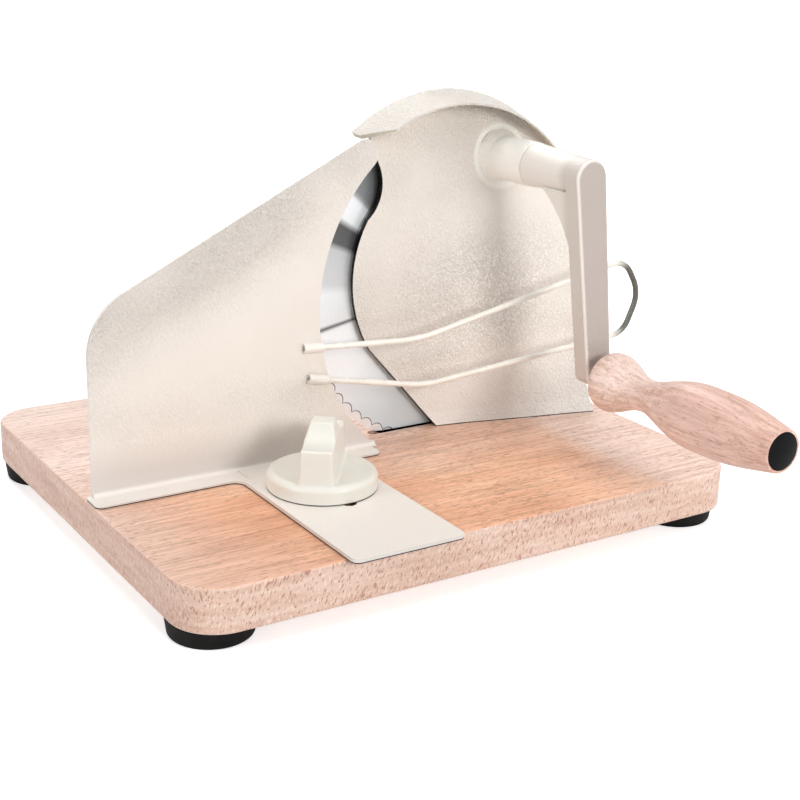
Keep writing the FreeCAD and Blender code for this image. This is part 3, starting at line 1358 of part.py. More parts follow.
TONGUE_TOP = "boardThickness + slideGap + tongueThickness"


def knob_bar(base):
    """Grip bar across the knob: its side view and its end view, each extruded, and what they share."""
    half = size("knobBarLength") / 2
    drawn = half - size("knobBarDraft")
    shoulder = base + size("knobBarShoulder")
    top = base + size("knobHeight")
    ridge = size("knobRidge") / 2
    low = base + size("knobBarRoot")
    hollow = shoulder + size("knobSwoopRise")
    width = size("knobBarWidth")

    def aside(along, height):
        return Vector(along, -width, height)

    side = Part.Face(Part.Wire([
        line(aside(-half, low), aside(half, low)),
        line(aside(half, low), aside(drawn, shoulder)),
        arc(aside(drawn, shoulder), aside(size("knobSwoop"), hollow), aside(ridge, top)),
        line(aside(ridge, top), aside(-ridge, top)),
        arc(aside(-ridge, top), aside(-size("knobSwoop"), hollow), aside(-drawn, shoulder)),
        line(aside(-drawn, shoulder), aside(-half, low)),
    ])).extrude(Vector(0, 2 * width, 0))
    foot = width / 2
    waist = foot - size("knobBarTaper")
    crest = size("knobBarTop") / 2
    corners = [(-foot, low), (foot, low), (waist, shoulder), (crest, top), (-crest, top), (-waist, shoulder)]
    ends = [Vector(-2 * half, across, height) for across, height in corners]
    bar = side.common(slab(ends, Vector(4 * half, 0, 0))).removeSplitter()
    upper = [edge for edge in bar.Edges if edge.BoundBox.ZMax > low + 1]
    return bar.makeFillet(size("knobBarEdge"), upper)


def bar_foot_edges(knob, level):
    """Edges where the grip bar rises from the skirt: one face ends below the level, one goes above it."""
    edges = []
    for edge in knob.Edges:
        tops = [side.BoundBox.ZMax for side in knob.ancestorsOfType(edge, Part.Face)]
        if min(tops) < level < max(tops):
            edges.append(edge)
    return edges


def make_clamp():
    base = board_top + size("slideGap") + size("tongueThickness") + size("slideGap")
    skirt = Part.makeCylinder(size("knobRadius"), size("knobSkirt"), Vector(0, 0, base), UP)
    rim = [edge for edge in skirt.Edges if abs(edge.BoundBox.ZMin - base - size("knobSkirt")) < 0.001]
    skirt = skirt.makeFillet(size("knobShoulder"), rim)
    dish_reach = size("knobRadius") - size("knobShoulder") - size("knobBarDraft")
    dish_radius = (dish_reach ** 2 + size("knobDish") ** 2) / (2 * size("knobDish"))
    dish_middle = base + size("knobSkirt") - size("knobDish") + dish_radius
    dish = Part.makeSphere(dish_radius, Vector(0, 0, dish_middle))
    bar = knob_bar(base)
    recess = Part.makeCylinder(size("clampWasherRadius") + 0.5, size("clampWasherThickness") + 0.1,
                               Vector(0, 0, base), UP)
    hole = Part.makeCylinder(size("studRadius"), size("knobBore"), Vector(0, 0, base), UP)
    moulding = skirt.cut(dish).fuse(bar).removeSplitter()
    foot_edges = bar_foot_edges(moulding, base + size("knobSkirt") + 1)
    moulding = moulding.makeFillet(size("knobBarFoot"), foot_edges)
    knob = shape_object("knobMoulding", moulding.cut([recess, hole]))
    knob.Placement = FreeCAD.Placement(
        Vector(size("knobX"), size("knobY"), 0), FreeCAD.Rotation(UP, 90 + size("knobTurn")))
    bind(knob, "Placement.Base.x", "knobX")
    bind(knob, "Placement.Base.y", "knobY")
    keep("clamp_knob", knob)

    stud = cylinder("clampStud", "studRadius", "studDepth + tongueThickness + 2 * slideGap + knobBore",
                    "knobX", "knobY", "boardThickness - studDepth")
    keep("clamp_stud", stud)
    washer = cylinder("clampWasherDisc", "clampWasherRadius", "clampWasherThickness", "knobX", "knobY",
                      TONGUE_TOP + " + slideGap")
    hole = cylinder("clampWasherHole", "studRadius", "clampWasherThickness", "knobX", "knobY",
                    TONGUE_TOP + " + slideGap")
    keep("clamp_washer", cut("clampWasher", washer, hole))
    barrel = cylinder("insertBarrel", "insertRadius", "insertDepth", "knobX", "knobY",
                      "boardThickness - insertDepth")
    thread = cylinder("insertThread", "studRadius + runningGap", "insertDepth", "knobX", "knobY",
                      "boardThickness - insertDepth")
    keep("board_insert", cut("boardInsert", barrel, thread))


make_board()
make_feet()
make_blade()
make_gears()
make_blade_bearing()
make_housing()
make_housing_screws()
make_crank_bearing()
make_crank_arm()
make_handle()
make_fence()
make_wire()
make_clamp()
document.recompute()

for name, item in nodes.items():
    if "Invalid" in item.State or "Error" in item.State:
        raise ValueError("%s could not be built" % name)
    if item.Shape.isNull() or not item.Shape.isValid():
        raise ValueError("%s is not a sound solid" % name)

os.makedirs("parts", exist_ok=True)
for name, item in nodes.items():
    item.Shape.exportStep("parts/%s.step" % name)
    box = item.Shape.BoundBox
    print("%-18s solids %d  x %7.1f %7.1f  y %7.1f %7.1f  z %6.1f %6.1f" % (
        name, len(item.Shape.Solids), box.XMin, box.XMax, box.YMin, box.YMax, box.ZMin, box.ZMax))
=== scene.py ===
import json
import math

import bpy
from mathutils import Matrix, Vector


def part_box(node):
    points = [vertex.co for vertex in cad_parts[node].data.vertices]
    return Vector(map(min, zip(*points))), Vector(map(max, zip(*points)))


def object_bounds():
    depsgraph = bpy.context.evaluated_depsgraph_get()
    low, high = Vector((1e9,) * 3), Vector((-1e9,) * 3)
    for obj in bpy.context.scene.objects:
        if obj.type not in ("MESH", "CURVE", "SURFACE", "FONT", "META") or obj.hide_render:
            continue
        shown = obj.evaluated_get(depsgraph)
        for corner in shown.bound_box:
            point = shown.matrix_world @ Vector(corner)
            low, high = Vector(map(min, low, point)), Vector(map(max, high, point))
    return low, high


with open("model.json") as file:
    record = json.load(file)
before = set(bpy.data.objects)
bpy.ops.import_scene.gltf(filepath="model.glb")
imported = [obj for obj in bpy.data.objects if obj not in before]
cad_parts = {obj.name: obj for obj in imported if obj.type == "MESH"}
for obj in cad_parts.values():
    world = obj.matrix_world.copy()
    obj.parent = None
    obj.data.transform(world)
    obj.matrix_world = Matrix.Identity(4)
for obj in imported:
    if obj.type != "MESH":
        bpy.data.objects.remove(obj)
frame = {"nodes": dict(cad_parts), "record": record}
cad_box = [list(corner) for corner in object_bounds()]


# Shader graphs. Each material is one Graph: short calls that add a node and join it up.
# Places and widths of zones are in metres, and textures repeat so many times per metre.

INPUTS = {
    "color": "Base Color", "roughness": "Roughness", "metallic": "Metallic", "normal": "Normal",
    "coat": "Coat Weight", "coat_roughness": "Coat Roughness", "specular": "Specular IOR Level",
    "subsurface": "Subsurface Weight", "subsurface_scale": "Subsurface Scale",
    "anisotropic": "Anisotropic", "tangent": "Tangent",
}


class Graph:
    def __init__(self, name):
        self.material = bpy.data.materials.new(name)
        self.material.use_nodes = True
        self.tree = self.material.node_tree
        self.shader = self.tree.nodes["Principled BSDF"]
        self.place = self.add("ShaderNodeTexCoord").outputs["Object"]

    def add(self, kind, **settings):
        node = self.tree.nodes.new(kind)
        for name, value in settings.items():
            setattr(node, name, value)
        return node

    def join(self, value, socket):
        """Link a socket, or set a constant."""
        if isinstance(value, bpy.types.NodeSocket):
            self.tree.links.new(value, socket)
        else:
            socket.default_value = value

    def stretched(self, scale, turn=(0, 0, 0)):
        """The object's own coordinates, turned and then scaled along each axis."""
        turned = self.add("ShaderNodeMapping")
        self.join(self.place, turned.inputs["Vector"])
        turned.inputs["Rotation"].default_value = turn
        node = self.add("ShaderNodeMapping")
        self.join(turned.outputs["Vector"], node.inputs["Vector"])
        node.inputs["Scale"].default_value = scale
        return node.outputs["Vector"]

    def noise(self, vector, scale, detail=2.0, roughness=0.5, distortion=0.0):
        node = self.add("ShaderNodeTexNoise")
        self.join(vector, node.inputs["Vector"])
        node.inputs["Scale"].default_value = scale
        node.inputs["Detail"].default_value = detail
        node.inputs["Roughness"].default_value = roughness
        node.inputs["Distortion"].default_value = distortion
        return node.outputs["Fac"]

    def cells(self, vector, scale):
        node = self.add("ShaderNodeTexVoronoi", feature="SMOOTH_F1")
        self.join(vector, node.inputs["Vector"])
        node.inputs["Scale"].default_value = scale
        return node.outputs["Distance"]

    def ramp(self, value, *stops):
        """Colours or plain numbers along a value; each stop is (position, colour or number)."""
        node = self.add("ShaderNodeValToRGB")
        self.join(value, node.inputs["Fac"])
        elements = node.color_ramp.elements
        while len(elements) < len(stops):
            elements.new(0.5)
        for element, (position, colour) in zip(elements, stops):
            element.position = position
            if isinstance(colour, (int, float)):
                colour = (colour, colour, colour)
            element.color = (*colour, 1.0)
        return node.outputs["Color"]

    def fade(self, value, start, end):
        """0 before the start and 1 after the end, straight in between."""
        node = self.add("ShaderNodeMapRange")
        self.join(value, node.inputs["Value"])
        node.inputs["From Min"].default_value = start
        node.inputs["From Max"].default_value = end
        return node.outputs["Result"]

    def mix(self, factor, first, second, blend="MIX"):
        node = self.add("ShaderNodeMix", data_type="RGBA", blend_type=blend)
        self.join(factor, node.inputs["Factor"])
        for value, name in ((first, "A"), (second, "B")):
            colour = value if isinstance(value, bpy.types.NodeSocket) else (*value, 1.0)
            self.join(colour, node.inputs[name])
        return node.outputs["Result"]

    def tinted(self, colour, tint, mask=1.0):
        """The colour times a tint, where the mask is."""
        return self.mix(mask, colour, self.mix(1.0, colour, tint, "MULTIPLY"))

    def calc(self, operation, first, second=0.0):
        node = self.add("ShaderNodeMath", operation=operation)
        self.join(first, node.inputs[0])
        self.join(second, node.inputs[1])
        return node.outputs[0]

    def scaled(self, value, factor, offset=0.0):
        return self.calc("ADD", self.calc("MULTIPLY", value, factor), offset)

    def shifted(self, value, by, share):
        """The value moved by a noise, which is taken from its middle and times a share."""
        return self.calc("ADD", value, self.calc("MULTIPLY", self.calc("SUBTRACT", by, 0.5), share))

    def most_of(self, *masks):
        largest = masks[0]
        for mask in masks[1:]:
            largest = self.calc("MAXIMUM", largest, mask)
        return largest

    def all_of(self, *masks):
        product = masks[0]
        for mask in masks[1:]:
            product = self.calc("MULTIPLY", product, mask)
        return product

    def part(self, vector, name):
        node = self.add("ShaderNodeSeparateXYZ")
        self.join(vector, node.inputs[0])
        return node.outputs[name]

    def axis(self, name):
        return self.part(self.place, name)

    def zone(self, name, span):
        """0 to 1 along an axis, from the first place of the span to the second."""
        return self.fade(self.axis(name), *span)

    def facing(self, name, span):
        """0 to 1 with how much the face looks along an axis."""
        normal = self.add("ShaderNodeNewGeometry").outputs["Normal"]
        return self.fade(self.part(normal, name), *span)

    def from_axis(self, x, z):
        """Steps across and upward from a line along Y, and the distance from it."""
        across = self.calc("SUBTRACT", self.axis("X"), x)
        upward = self.calc("SUBTRACT", self.axis("Z"), z)
        squares = self.calc("ADD", self.calc("MULTIPLY", across, across),
                            self.calc("MULTIPLY", upward, upward))
        return across, upward, self.calc("SQRT", squares)

    def bump(self, height, strength, distance, below=None):
        node = self.add("ShaderNodeBump")
        self.join(height, node.inputs["Height"])
        self.join(strength, node.inputs["Strength"])
        node.inputs["Distance"].default_value = distance
        if below is not None:
            self.join(below, node.inputs["Normal"])
        return node.outputs["Normal"]

    def finish(self, **inputs):
        for name, value in inputs.items():
            self.join(value, self.shader.inputs[INPUTS[name]])
        return self.material


def darker(colour, share):
    return tuple(channel * share for channel in colour)


# Wood: straight beech grain with its rays seen as short dark dashes.

WOOD_TOP = ((0.70, 0.355, 0.21), (0.86, 0.485, 0.31), (0.93, 0.615, 0.43))
WOOD_SIDE = ((0.60, 0.385, 0.295), (0.69, 0.475, 0.375), (0.75, 0.57, 0.48))
WOOD_HANDLE = ((0.63, 0.38, 0.30), (0.73, 0.49, 0.42), (0.80, 0.61, 0.55))
# Pale wood, for the paler grain and also for the painted sheen on the board's top.
PALE_WOOD_AND_SHEEN = (0.83, 0.685, 0.62)
FLECK = (0.36, 0.14, 0.085)
STREAK_DARK = (0.74, 0.66, 0.60)
STREAK_LIGHT = (1.07, 1.06, 1.05)

# How often each figure repeats across the grain and along it.
BANDS = (8.0, 1.3)
FIBRES = (420.0, 18.0)
DASHES = (1400.0, 210.0)
PATCHES = (24.0, 24.0)


def along_grain(graph, repeats, along):
    across, lengthwise = repeats
    scale = [across, across, across]
    scale[along] = lengthwise
    return graph.stretched(scale)


def wood_figure(graph, along, colours, pale=0.0, fleck=0.62):
    """Colour, fibres and fleck marks of a flat-sawn face, with the grain along one axis."""
    bands = graph.noise(along_grain(graph, BANDS, along), 3.0, 4.0, 0.65, 0.9)
    fibres = graph.noise(along_grain(graph, FIBRES, along), 1.0, 4.0, 0.7)
    colour = graph.ramp(bands, (0.34, colours[0]), (0.50, colours[1]), (0.66, colours[2]))
    colour = graph.mix(pale, colour, PALE_WOOD_AND_SHEEN)
    streak = graph.ramp(fibres, (0.32, STREAK_DARK), (0.60, STREAK_LIGHT))
    colour = graph.mix(1.0, colour, streak, "MULTIPLY")
    rays = graph.noise(along_grain(graph, DASHES, along), 1.0, 1.5, 0.5)
    rays = graph.shifted(rays, graph.noise(along_grain(graph, PATCHES, along), 1.0, 2.0), 0.16)
    marks = graph.ramp(rays, (0.585, 0.0), (0.66, fleck))
    return graph.mix(marks, colour, FLECK), fibres, marks


def wood_roughness(graph, fibres):
    return graph.ramp(fibres, (0.3, 0.46), (0.7, 0.36))


STAVE = 0.0574
STAVE_TINTS = ((0.96, 0.93, 0.91), (1.03, 1.04, 1.05))
# Painted sheen on the board's top: where it turns paler at the left end, the back and the right end, how
# much, and how far a noise moves these limits.
PAINTED_SHEEN_LEFT = (0.14, 0.25)
PAINTED_SHEEN_BACK = (-0.02, 0.10)
PAINTED_SHEEN_RIGHT = (0.118, 0.140)
PAINTED_SHEEN_SHARE = 0.80
PAINTED_SHEEN_WANDER = 0.10


def board_top(graph):
    """The upper face: staves side by side, with a painted sheen that makes it paler towards the back and
    both ends.
    """
    cloud = graph.scaled(graph.noise(graph.place, 12.0), PAINTED_SHEEN_WANDER)
    left = graph.calc("ADD", graph.scaled(graph.axis("X"), -1.0), cloud)
    right = graph.calc("ADD", graph.axis("X"), graph.scaled(cloud, 0.3))
    back = graph.calc("ADD", graph.axis("Y"), cloud)
    pale = graph.most_of(graph.fade(left, *PAINTED_SHEEN_LEFT), graph.fade(back, *PAINTED_SHEEN_BACK),
                         graph.fade(right, *PAINTED_SHEEN_RIGHT))
    colour, fibres, marks = wood_figure(graph, 0, WOOD_TOP, graph.scaled(pale, PAINTED_SHEEN_SHARE))
    staves = graph.add("ShaderNodeTexWhiteNoise", noise_dimensions="1D")
    graph.join(graph.calc("FLOOR", graph.scaled(graph.axis("Y"), 1 / STAVE)), staves.inputs["W"])
    tint = graph.ramp(staves.outputs["Value"], (0.0, STAVE_TINTS[0]), (1.0, STAVE_TINTS[1]))
    return graph.mix(1.0, colour, tint, "MULTIPLY"), fibres, marks


TICKS = (1050, 1050, 230)
TICKS_LEAN = (0.35, -0.30, 0.0)
LEFT_END_SHADE = (0.90, 0.87, 0.86)


def board_side(graph):
    """The edges: end grain and side grain, with dense short ticks that lean a little, and painted shade
    on the left end.
    """
    ticks = graph.noise(graph.stretched(TICKS, TICKS_LEAN), 1.0, 1.0, 0.5)
    ticks = graph.shifted(ticks, graph.noise(graph.place, 40.0, 3.0, 0.6), 0.22)
    bands = graph.noise(graph.stretched((5, 5, 70)), 3.0, 3.0, 0.6, 0.4)
    colour = graph.ramp(bands, (0.3, WOOD_SIDE[0]), (0.5, WOOD_SIDE[1]), (0.7, WOOD_SIDE[2]))
    colour = graph.mix(graph.ramp(ticks, (0.30, 0.65), (0.42, 0.0)), colour, PALE_WOOD_AND_SHEEN)
    # Painted shade: the face that looks left is darker.
    colour = graph.tinted(colour, LEFT_END_SHADE, graph.facing("X", (-0.5, -0.8)))
    return graph.mix(graph.ramp(ticks, (0.60, 0.0), (0.68, 0.75)), colour, FLECK)


def board_wood():
    graph = Graph("beech_board")
    top, fibres, marks = board_top(graph)
    level = graph.most_of(graph.facing("Z", (0.55, 0.8)), graph.facing("Z", (-0.55, -0.8)))
    height = graph.calc("SUBTRACT", fibres, marks)
    return graph.finish(color=graph.mix(level, board_side(graph), top), specular=0.6,
                        roughness=wood_roughness(graph, fibres),
                        normal=graph.bump(height, 0.22, 0.00025))


GRIP_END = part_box("handle_grip")[1][1]
GRIP_PALE = (GRIP_END - 0.065, GRIP_END - 0.025)
GRIP_PALE_SHARE = 0.65
GRIP_FLECK = 0.45


def handle_wood():
    """The grip, paler on its ball and neck beside the arm."""
    graph = Graph("beech_handle")
    pale = graph.scaled(graph.zone("Y", GRIP_PALE), GRIP_PALE_SHARE)
    colour, fibres, marks = wood_figure(graph, 1, WOOD_HANDLE, pale, GRIP_FLECK)
    height = graph.calc("SUBTRACT", fibres, marks)
    return graph.finish(color=colour, roughness=wood_roughness(graph, fibres), coat=0.1,
                        coat_roughness=0.35, normal=graph.bump(height, 0.25, 0.0002))


# Coats, plastics and rubber

CREAM = (0.82, 0.765, 0.705)
TIP_GLINT = (1.0, 0.985, 0.96)
# Near black: the rubber's own colour, and the colour of painted shade and painted contact shadows.
BLACK_AND_SHADE = (0.004, 0.004, 0.004)
SHADE_LINE = 0.0006
PEEL = 760.0
PEEL_DEPTH = 0.0013


def powder_coat(graph, smooth, glint, pit_shade=0.22):
    """Thick cream coat with orange peel: colour, roughness and normal.

    The peel shows in patches, and not where the coat is smooth. Its crests carry painted glints
    and its troughs painted shade.
    """
    blobs = graph.cells(graph.place, PEEL)
    ripple = graph.noise(graph.place, PEEL * 1.4, 2.0, 0.55, 0.4)
    grains = graph.noise(graph.place, PEEL * 3.5, 2.0, 0.6)
    height = graph.calc("SUBTRACT", graph.scaled(ripple, 1.1), graph.scaled(blobs, 0.8))
    patch = graph.fade(graph.noise(graph.place, 10.0, 2.0, 0.5), 0.38, 0.62)
    strength = graph.all_of(graph.scaled(patch, 0.75, 0.25), graph.calc("SUBTRACT", 1.0, smooth))
    cloud = graph.noise(graph.place, 11.0, 3.0, 0.55)
    shade = graph.ramp(cloud, (0.3, darker(CREAM, 0.95)), (0.7, CREAM))
    # Painted shade in the peel's troughs and painted glints on its crests.
    hollow_shade = graph.all_of(graph.fade(height, 0.26, 0.08), strength, pit_shade)
    shade = graph.mix(hollow_shade, shade, darker(CREAM, 0.62))
    tip_glints = graph.all_of(graph.fade(height, 0.32, 0.44), strength, glint)
    shade = graph.mix(tip_glints, shade, TIP_GLINT)
    normal = graph.bump(grains, 0.10, 0.0001, graph.bump(height, strength, PEEL_DEPTH))
    return shade, graph.ramp(grains, (0.3, 0.26), (0.7, 0.40)), normal


def contact_shadow(graph, level):
    """Mask of a painted contact shadow: the lowest hair of a piece, where it stands on what is below and
    no light reaches.
    """
    return graph.zone("Z", (level + SHADE_LINE, level + 0.7 * SHADE_LINE))


BOARD_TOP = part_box("board")[1][2]
HOOD_LEVEL = (0.196, 0.193)
RIM_RIGHT = (0.066, 0.063)

# Where the housing's peel has the most painted glints and painted trough shade: from the left, under its
# upper third and above its foot.
GLINT_ZONE_LEFT = (0.02, 0.07)
GLINT_ZONE_UPPER = (0.155, 0.12)
GLINT_ZONE_LOWER = (0.045, 0.065)

NEAR_BOARD = (0.085, 0.035)
NEAR_BOARD_LIGHT = (0.86, 0.86, 0.83)
UPPER_PART = (0.14, 0.20)
UPPER_SHADE = (0.90, 0.885, 0.865)
DOWNWARD_SHADE = (0.84, 0.85, 0.78)
CRANK_AXIS = (0.0902, 0.1851)
BOSS_EDGE = (0.0195, 0.0175)
BOSS_LIGHT = (0.93, 0.90, 0.84)


def casting_coat():
    """The housing's coat, with painted light and shade: lighter and cooler near the board and on the
    boss, darker on its upper part and on faces that look down. The wall of its edge towards the blade and
    the hair at its foot are painted black as shade.
    """
    graph = Graph("cream_casting")
    glint_zone = graph.all_of(graph.zone("X", GLINT_ZONE_LEFT), graph.zone("Z", GLINT_ZONE_UPPER),
                          graph.zone("Z", GLINT_ZONE_LOWER))
    glint = graph.scaled(glint_zone, 0.80, 0.18)
    pit_shade = graph.scaled(glint_zone, 0.30, 0.15)
    shade, roughness, normal = powder_coat(graph, 0.0, glint, pit_shade)
    # Painted light: lighter and cooler towards the board.
    shade = graph.mix(graph.scaled(graph.zone("Z", NEAR_BOARD), 0.7), shade, NEAR_BOARD_LIGHT)
    # Painted shade: darker on the upper part.
    shade = graph.tinted(shade, UPPER_SHADE, graph.zone("Z", UPPER_PART))
    # Painted shade: darker on faces that look down, as under the hood.
    shade = graph.tinted(shade, DOWNWARD_SHADE, graph.facing("Z", (-0.1, -0.5)))
    # Painted light: lighter on the boss round the crank's axis.
    distance = graph.from_axis(*CRANK_AXIS)[2]
    boss = graph.fade(distance, *BOSS_EDGE)
    shade = graph.mix(graph.scaled(boss, 0.85), shade, BOSS_LIGHT)
    # Painted shade: black on the rim wall towards the blade and on the hair at the foot.
    rim = graph.all_of(graph.facing("X", (-0.35, -0.5)), graph.zone("X", RIM_RIGHT),
                       graph.zone("Z", HOOD_LEVEL))
    painted_black_shade = graph.most_of(rim, contact_shadow(graph, BOARD_TOP))
    return graph.finish(color=graph.mix(painted_black_shade, shade, BLACK_AND_SHADE), roughness=roughness,
                        normal=normal, metallic=painted_black_shade)


FENCE_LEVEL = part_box("stop_fence")[0][2]

# The plate's sloping upper edge: its slope and its lower end, in X and Z.
PLATE_EDGE = math.radians(26.5)
PLATE_CORNER = (-0.166, 0.122)

# The smooth middle starts below the upper band of peel and ends above the lower one.
UPPER_BAND_END = (0.02, 0.05)
LOWER_BAND_TOP = (0.066, 0.085)
LOWER_BAND_FOOT = (0.052, 0.036)

PLATE_FOOT_TINT = (0.84, 0.84, 0.86)
FLAT_PAINTED_LIGHT = (0.85, 0.79, 0.73)


def below_plate_edge(graph):
    """Distance below the plate's sloping edge."""
    along = graph.calc("SUBTRACT", graph.axis("X"), PLATE_CORNER[0])
    upward = graph.calc("SUBTRACT", graph.axis("Z"), PLATE_CORNER[1])
    return graph.calc("SUBTRACT", graph.scaled(along, math.sin(PLATE_EDGE)),
                      graph.scaled(upward, math.cos(PLATE_EDGE)))


def sheet_coat():
    """The stop plate's coat: two bands of peel, smooth between them, below and on the foot."""
    graph = Graph("cream_plate")
    flat = graph.facing("Z", (0.35, 0.6))
    below_edge = below_plate_edge(graph)
    middle = graph.all_of(graph.fade(below_edge, *UPPER_BAND_END), graph.zone("Z", LOWER_BAND_TOP))
    low = graph.zone("Z", LOWER_BAND_FOOT)
    smooth = graph.scaled(graph.most_of(flat, middle, low), 0.85)
    shade, roughness, normal = powder_coat(graph, smooth, 0.25, 0.12)
    # Darker towards the plate's sloping upper edge.
    edge_darkening = graph.ramp(graph.fade(below_edge, 0.0, 0.05), (0.0, 0.89), (1.0, 1.0))
    shade = graph.mix(1.0, shade, edge_darkening, "MULTIPLY")
    shade = graph.tinted(shade, PLATE_FOOT_TINT, low)
    # Painted light: faces that look up are lighter.
    shade = graph.mix(graph.scaled(flat, 0.8), shade, FLAT_PAINTED_LIGHT)
    # Painted contact shadow: the hair at the plate's foot is painted black.
    under = contact_shadow(graph, FENCE_LEVEL)
    return graph.finish(color=graph.mix(under, shade, BLACK_AND_SHADE), roughness=roughness,
                        normal=normal, metallic=under)


ARM_START = (-0.074, -0.080)
ARM_SHADE = (0.63, 0.57, 0.52)
ARM_FRONT_SHADE = (0.465, 0.40, 0.365)
ARM_EDGE_HIGHLIGHT = (0.79, 0.745, 0.69)


def arm_coat():
    """The crank's coat, with painted shade that makes the arm darker than its hub and most on its front,
    and a painted highlight on its edges.
    """
    graph = Graph("cream_crank")
    shade, roughness, normal = powder_coat(graph, 0.5, 0.12)
    # Painted shade on the arm and its front face, and a painted highlight on its rounded edges.
    arm = graph.zone("Y", ARM_START)
    shade = graph.mix(arm, shade, ARM_SHADE)
    front = graph.all_of(arm, graph.facing("Y", (-0.4, -0.75)))
    shade = graph.mix(front, shade, ARM_FRONT_SHADE)
    edge = graph.all_of(arm, graph.facing("Y", (-0.2, -0.4)), graph.facing("Y", (-0.95, -0.8)))
    shade = graph.mix(edge, shade, ARM_EDGE_HIGHLIGHT)
    return graph.finish(color=shade, roughness=roughness, normal=normal)


LOOP_START = (0.152, 0.160)
WIRE_COAT = ((0.79, 0.75, 0.68), (0.83, 0.80, 0.74))
LOOP_SHADE = (0.11, 0.11, 0.09)


def coated_wire():
    """White coat, with painted shade that turns the loop at the far right dark grey."""
    graph = Graph("wire_coat")
    sag = graph.noise(graph.place, 70.0, 2.0, 0.5)
    colour = graph.ramp(sag, (0.3, WIRE_COAT[0]), (0.7, WIRE_COAT[1]))
    # Painted shade on the loop at the far right.
    colour = graph.mix(graph.zone("X", LOOP_START), colour, LOOP_SHADE)
    return graph.finish(color=colour, roughness=graph.ramp(sag, (0.3, 0.22), (0.7, 0.34)),
                        normal=graph.bump(sag, 0.04, 0.0003))


def moulded(name, colour, roughness, scatter=0.0, specular=0.5, stands_on=None):
    """Injection-moulded plastic with a faint spark-eroded grain and flow marks."""
    graph = Graph(name)
    grain = graph.noise(graph.place, 900.0, 2.0, 0.6)
    flow = graph.noise(graph.stretched((20, 20, 60)), 1.0, 3.0, 0.5, 0.8)
    shade = graph.ramp(flow, (0.3, darker(colour, 0.95)), (0.7, colour))
    if stands_on is not None:
        # Painted contact shadow: the hair where the piece stands is painted black.
        shade = graph.mix(contact_shadow(graph, stands_on), shade, BLACK_AND_SHADE)
    rough = graph.ramp(grain, (0.3, roughness - 0.05), (0.7, roughness + 0.06))
    return graph.finish(color=shade, roughness=rough, normal=graph.bump(grain, 0.12, 0.0002),
                        subsurface=scatter, subsurface_scale=0.003, specular=specular)


def rubber():
    graph = Graph("rubber")
    grain = graph.noise(graph.place, 1400.0, 3.0, 0.6)
    dust = graph.noise(graph.place, 60.0, 4.0, 0.6)
    colour = graph.ramp(dust, (0.35, BLACK_AND_SHADE), (0.75, (0.014, 0.013, 0.012)))
    return graph.finish(color=colour, roughness=graph.ramp(dust, (0.3, 0.55), (0.7, 0.70)),
                        normal=graph.bump(grain, 0.3, 0.0002), specular=0.15)


# Metals

BLADE_LOW, BLADE_HIGH = (Vector(corner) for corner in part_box("blade"))
BLADE_AXIS = (BLADE_LOW + BLADE_HIGH) / 2

# Painted reflections, light and dark fan-shaped sectors on the polished disc: angle in degrees from +X,
# and how bright the painted reflection is there.
BLADE_REFLECTION_FANS = [(90, 0.50), (120, 0.06), (130, 0.20), (136, 0.26), (138, 0.97), (146.5, 0.93),
              (148.5, 0.10), (156.5, 0.12), (158.5, 0.62), (173, 0.70), (177, 0.90), (190.3, 0.88),
              (191.1, 0.10), (191.9, 0.10), (192.7, 0.95), (214, 0.95), (228, 0.85), (245, 0.74),
              (290, 0.70), (330, 0.45)]
BLADE_REFLECTION_TINT = (0.93, 0.97, 1.0)
# A bluer painted reflection on the lower sectors.
LOWER_REFLECTIONS = (0.58, 0.66)
LOWER_REFLECTION_TINT = (0.94, 1.03, 1.07)
BEVEL_LINE = 0.0002
BEVEL_HIGHLIGHT = (0.90, 0.89, 0.90)


def blade_angle(graph):
    """Share of a full turn round the blade's axis, from +X through +Z, and the radius."""
    across, upward, radius = graph.from_axis(BLADE_AXIS.x, BLADE_AXIS.z)
    turn = graph.scaled(graph.calc("ARCTAN2", upward, across), 1 / (2 * math.pi), 1.0)
    return graph.calc("FRACT", turn), radius


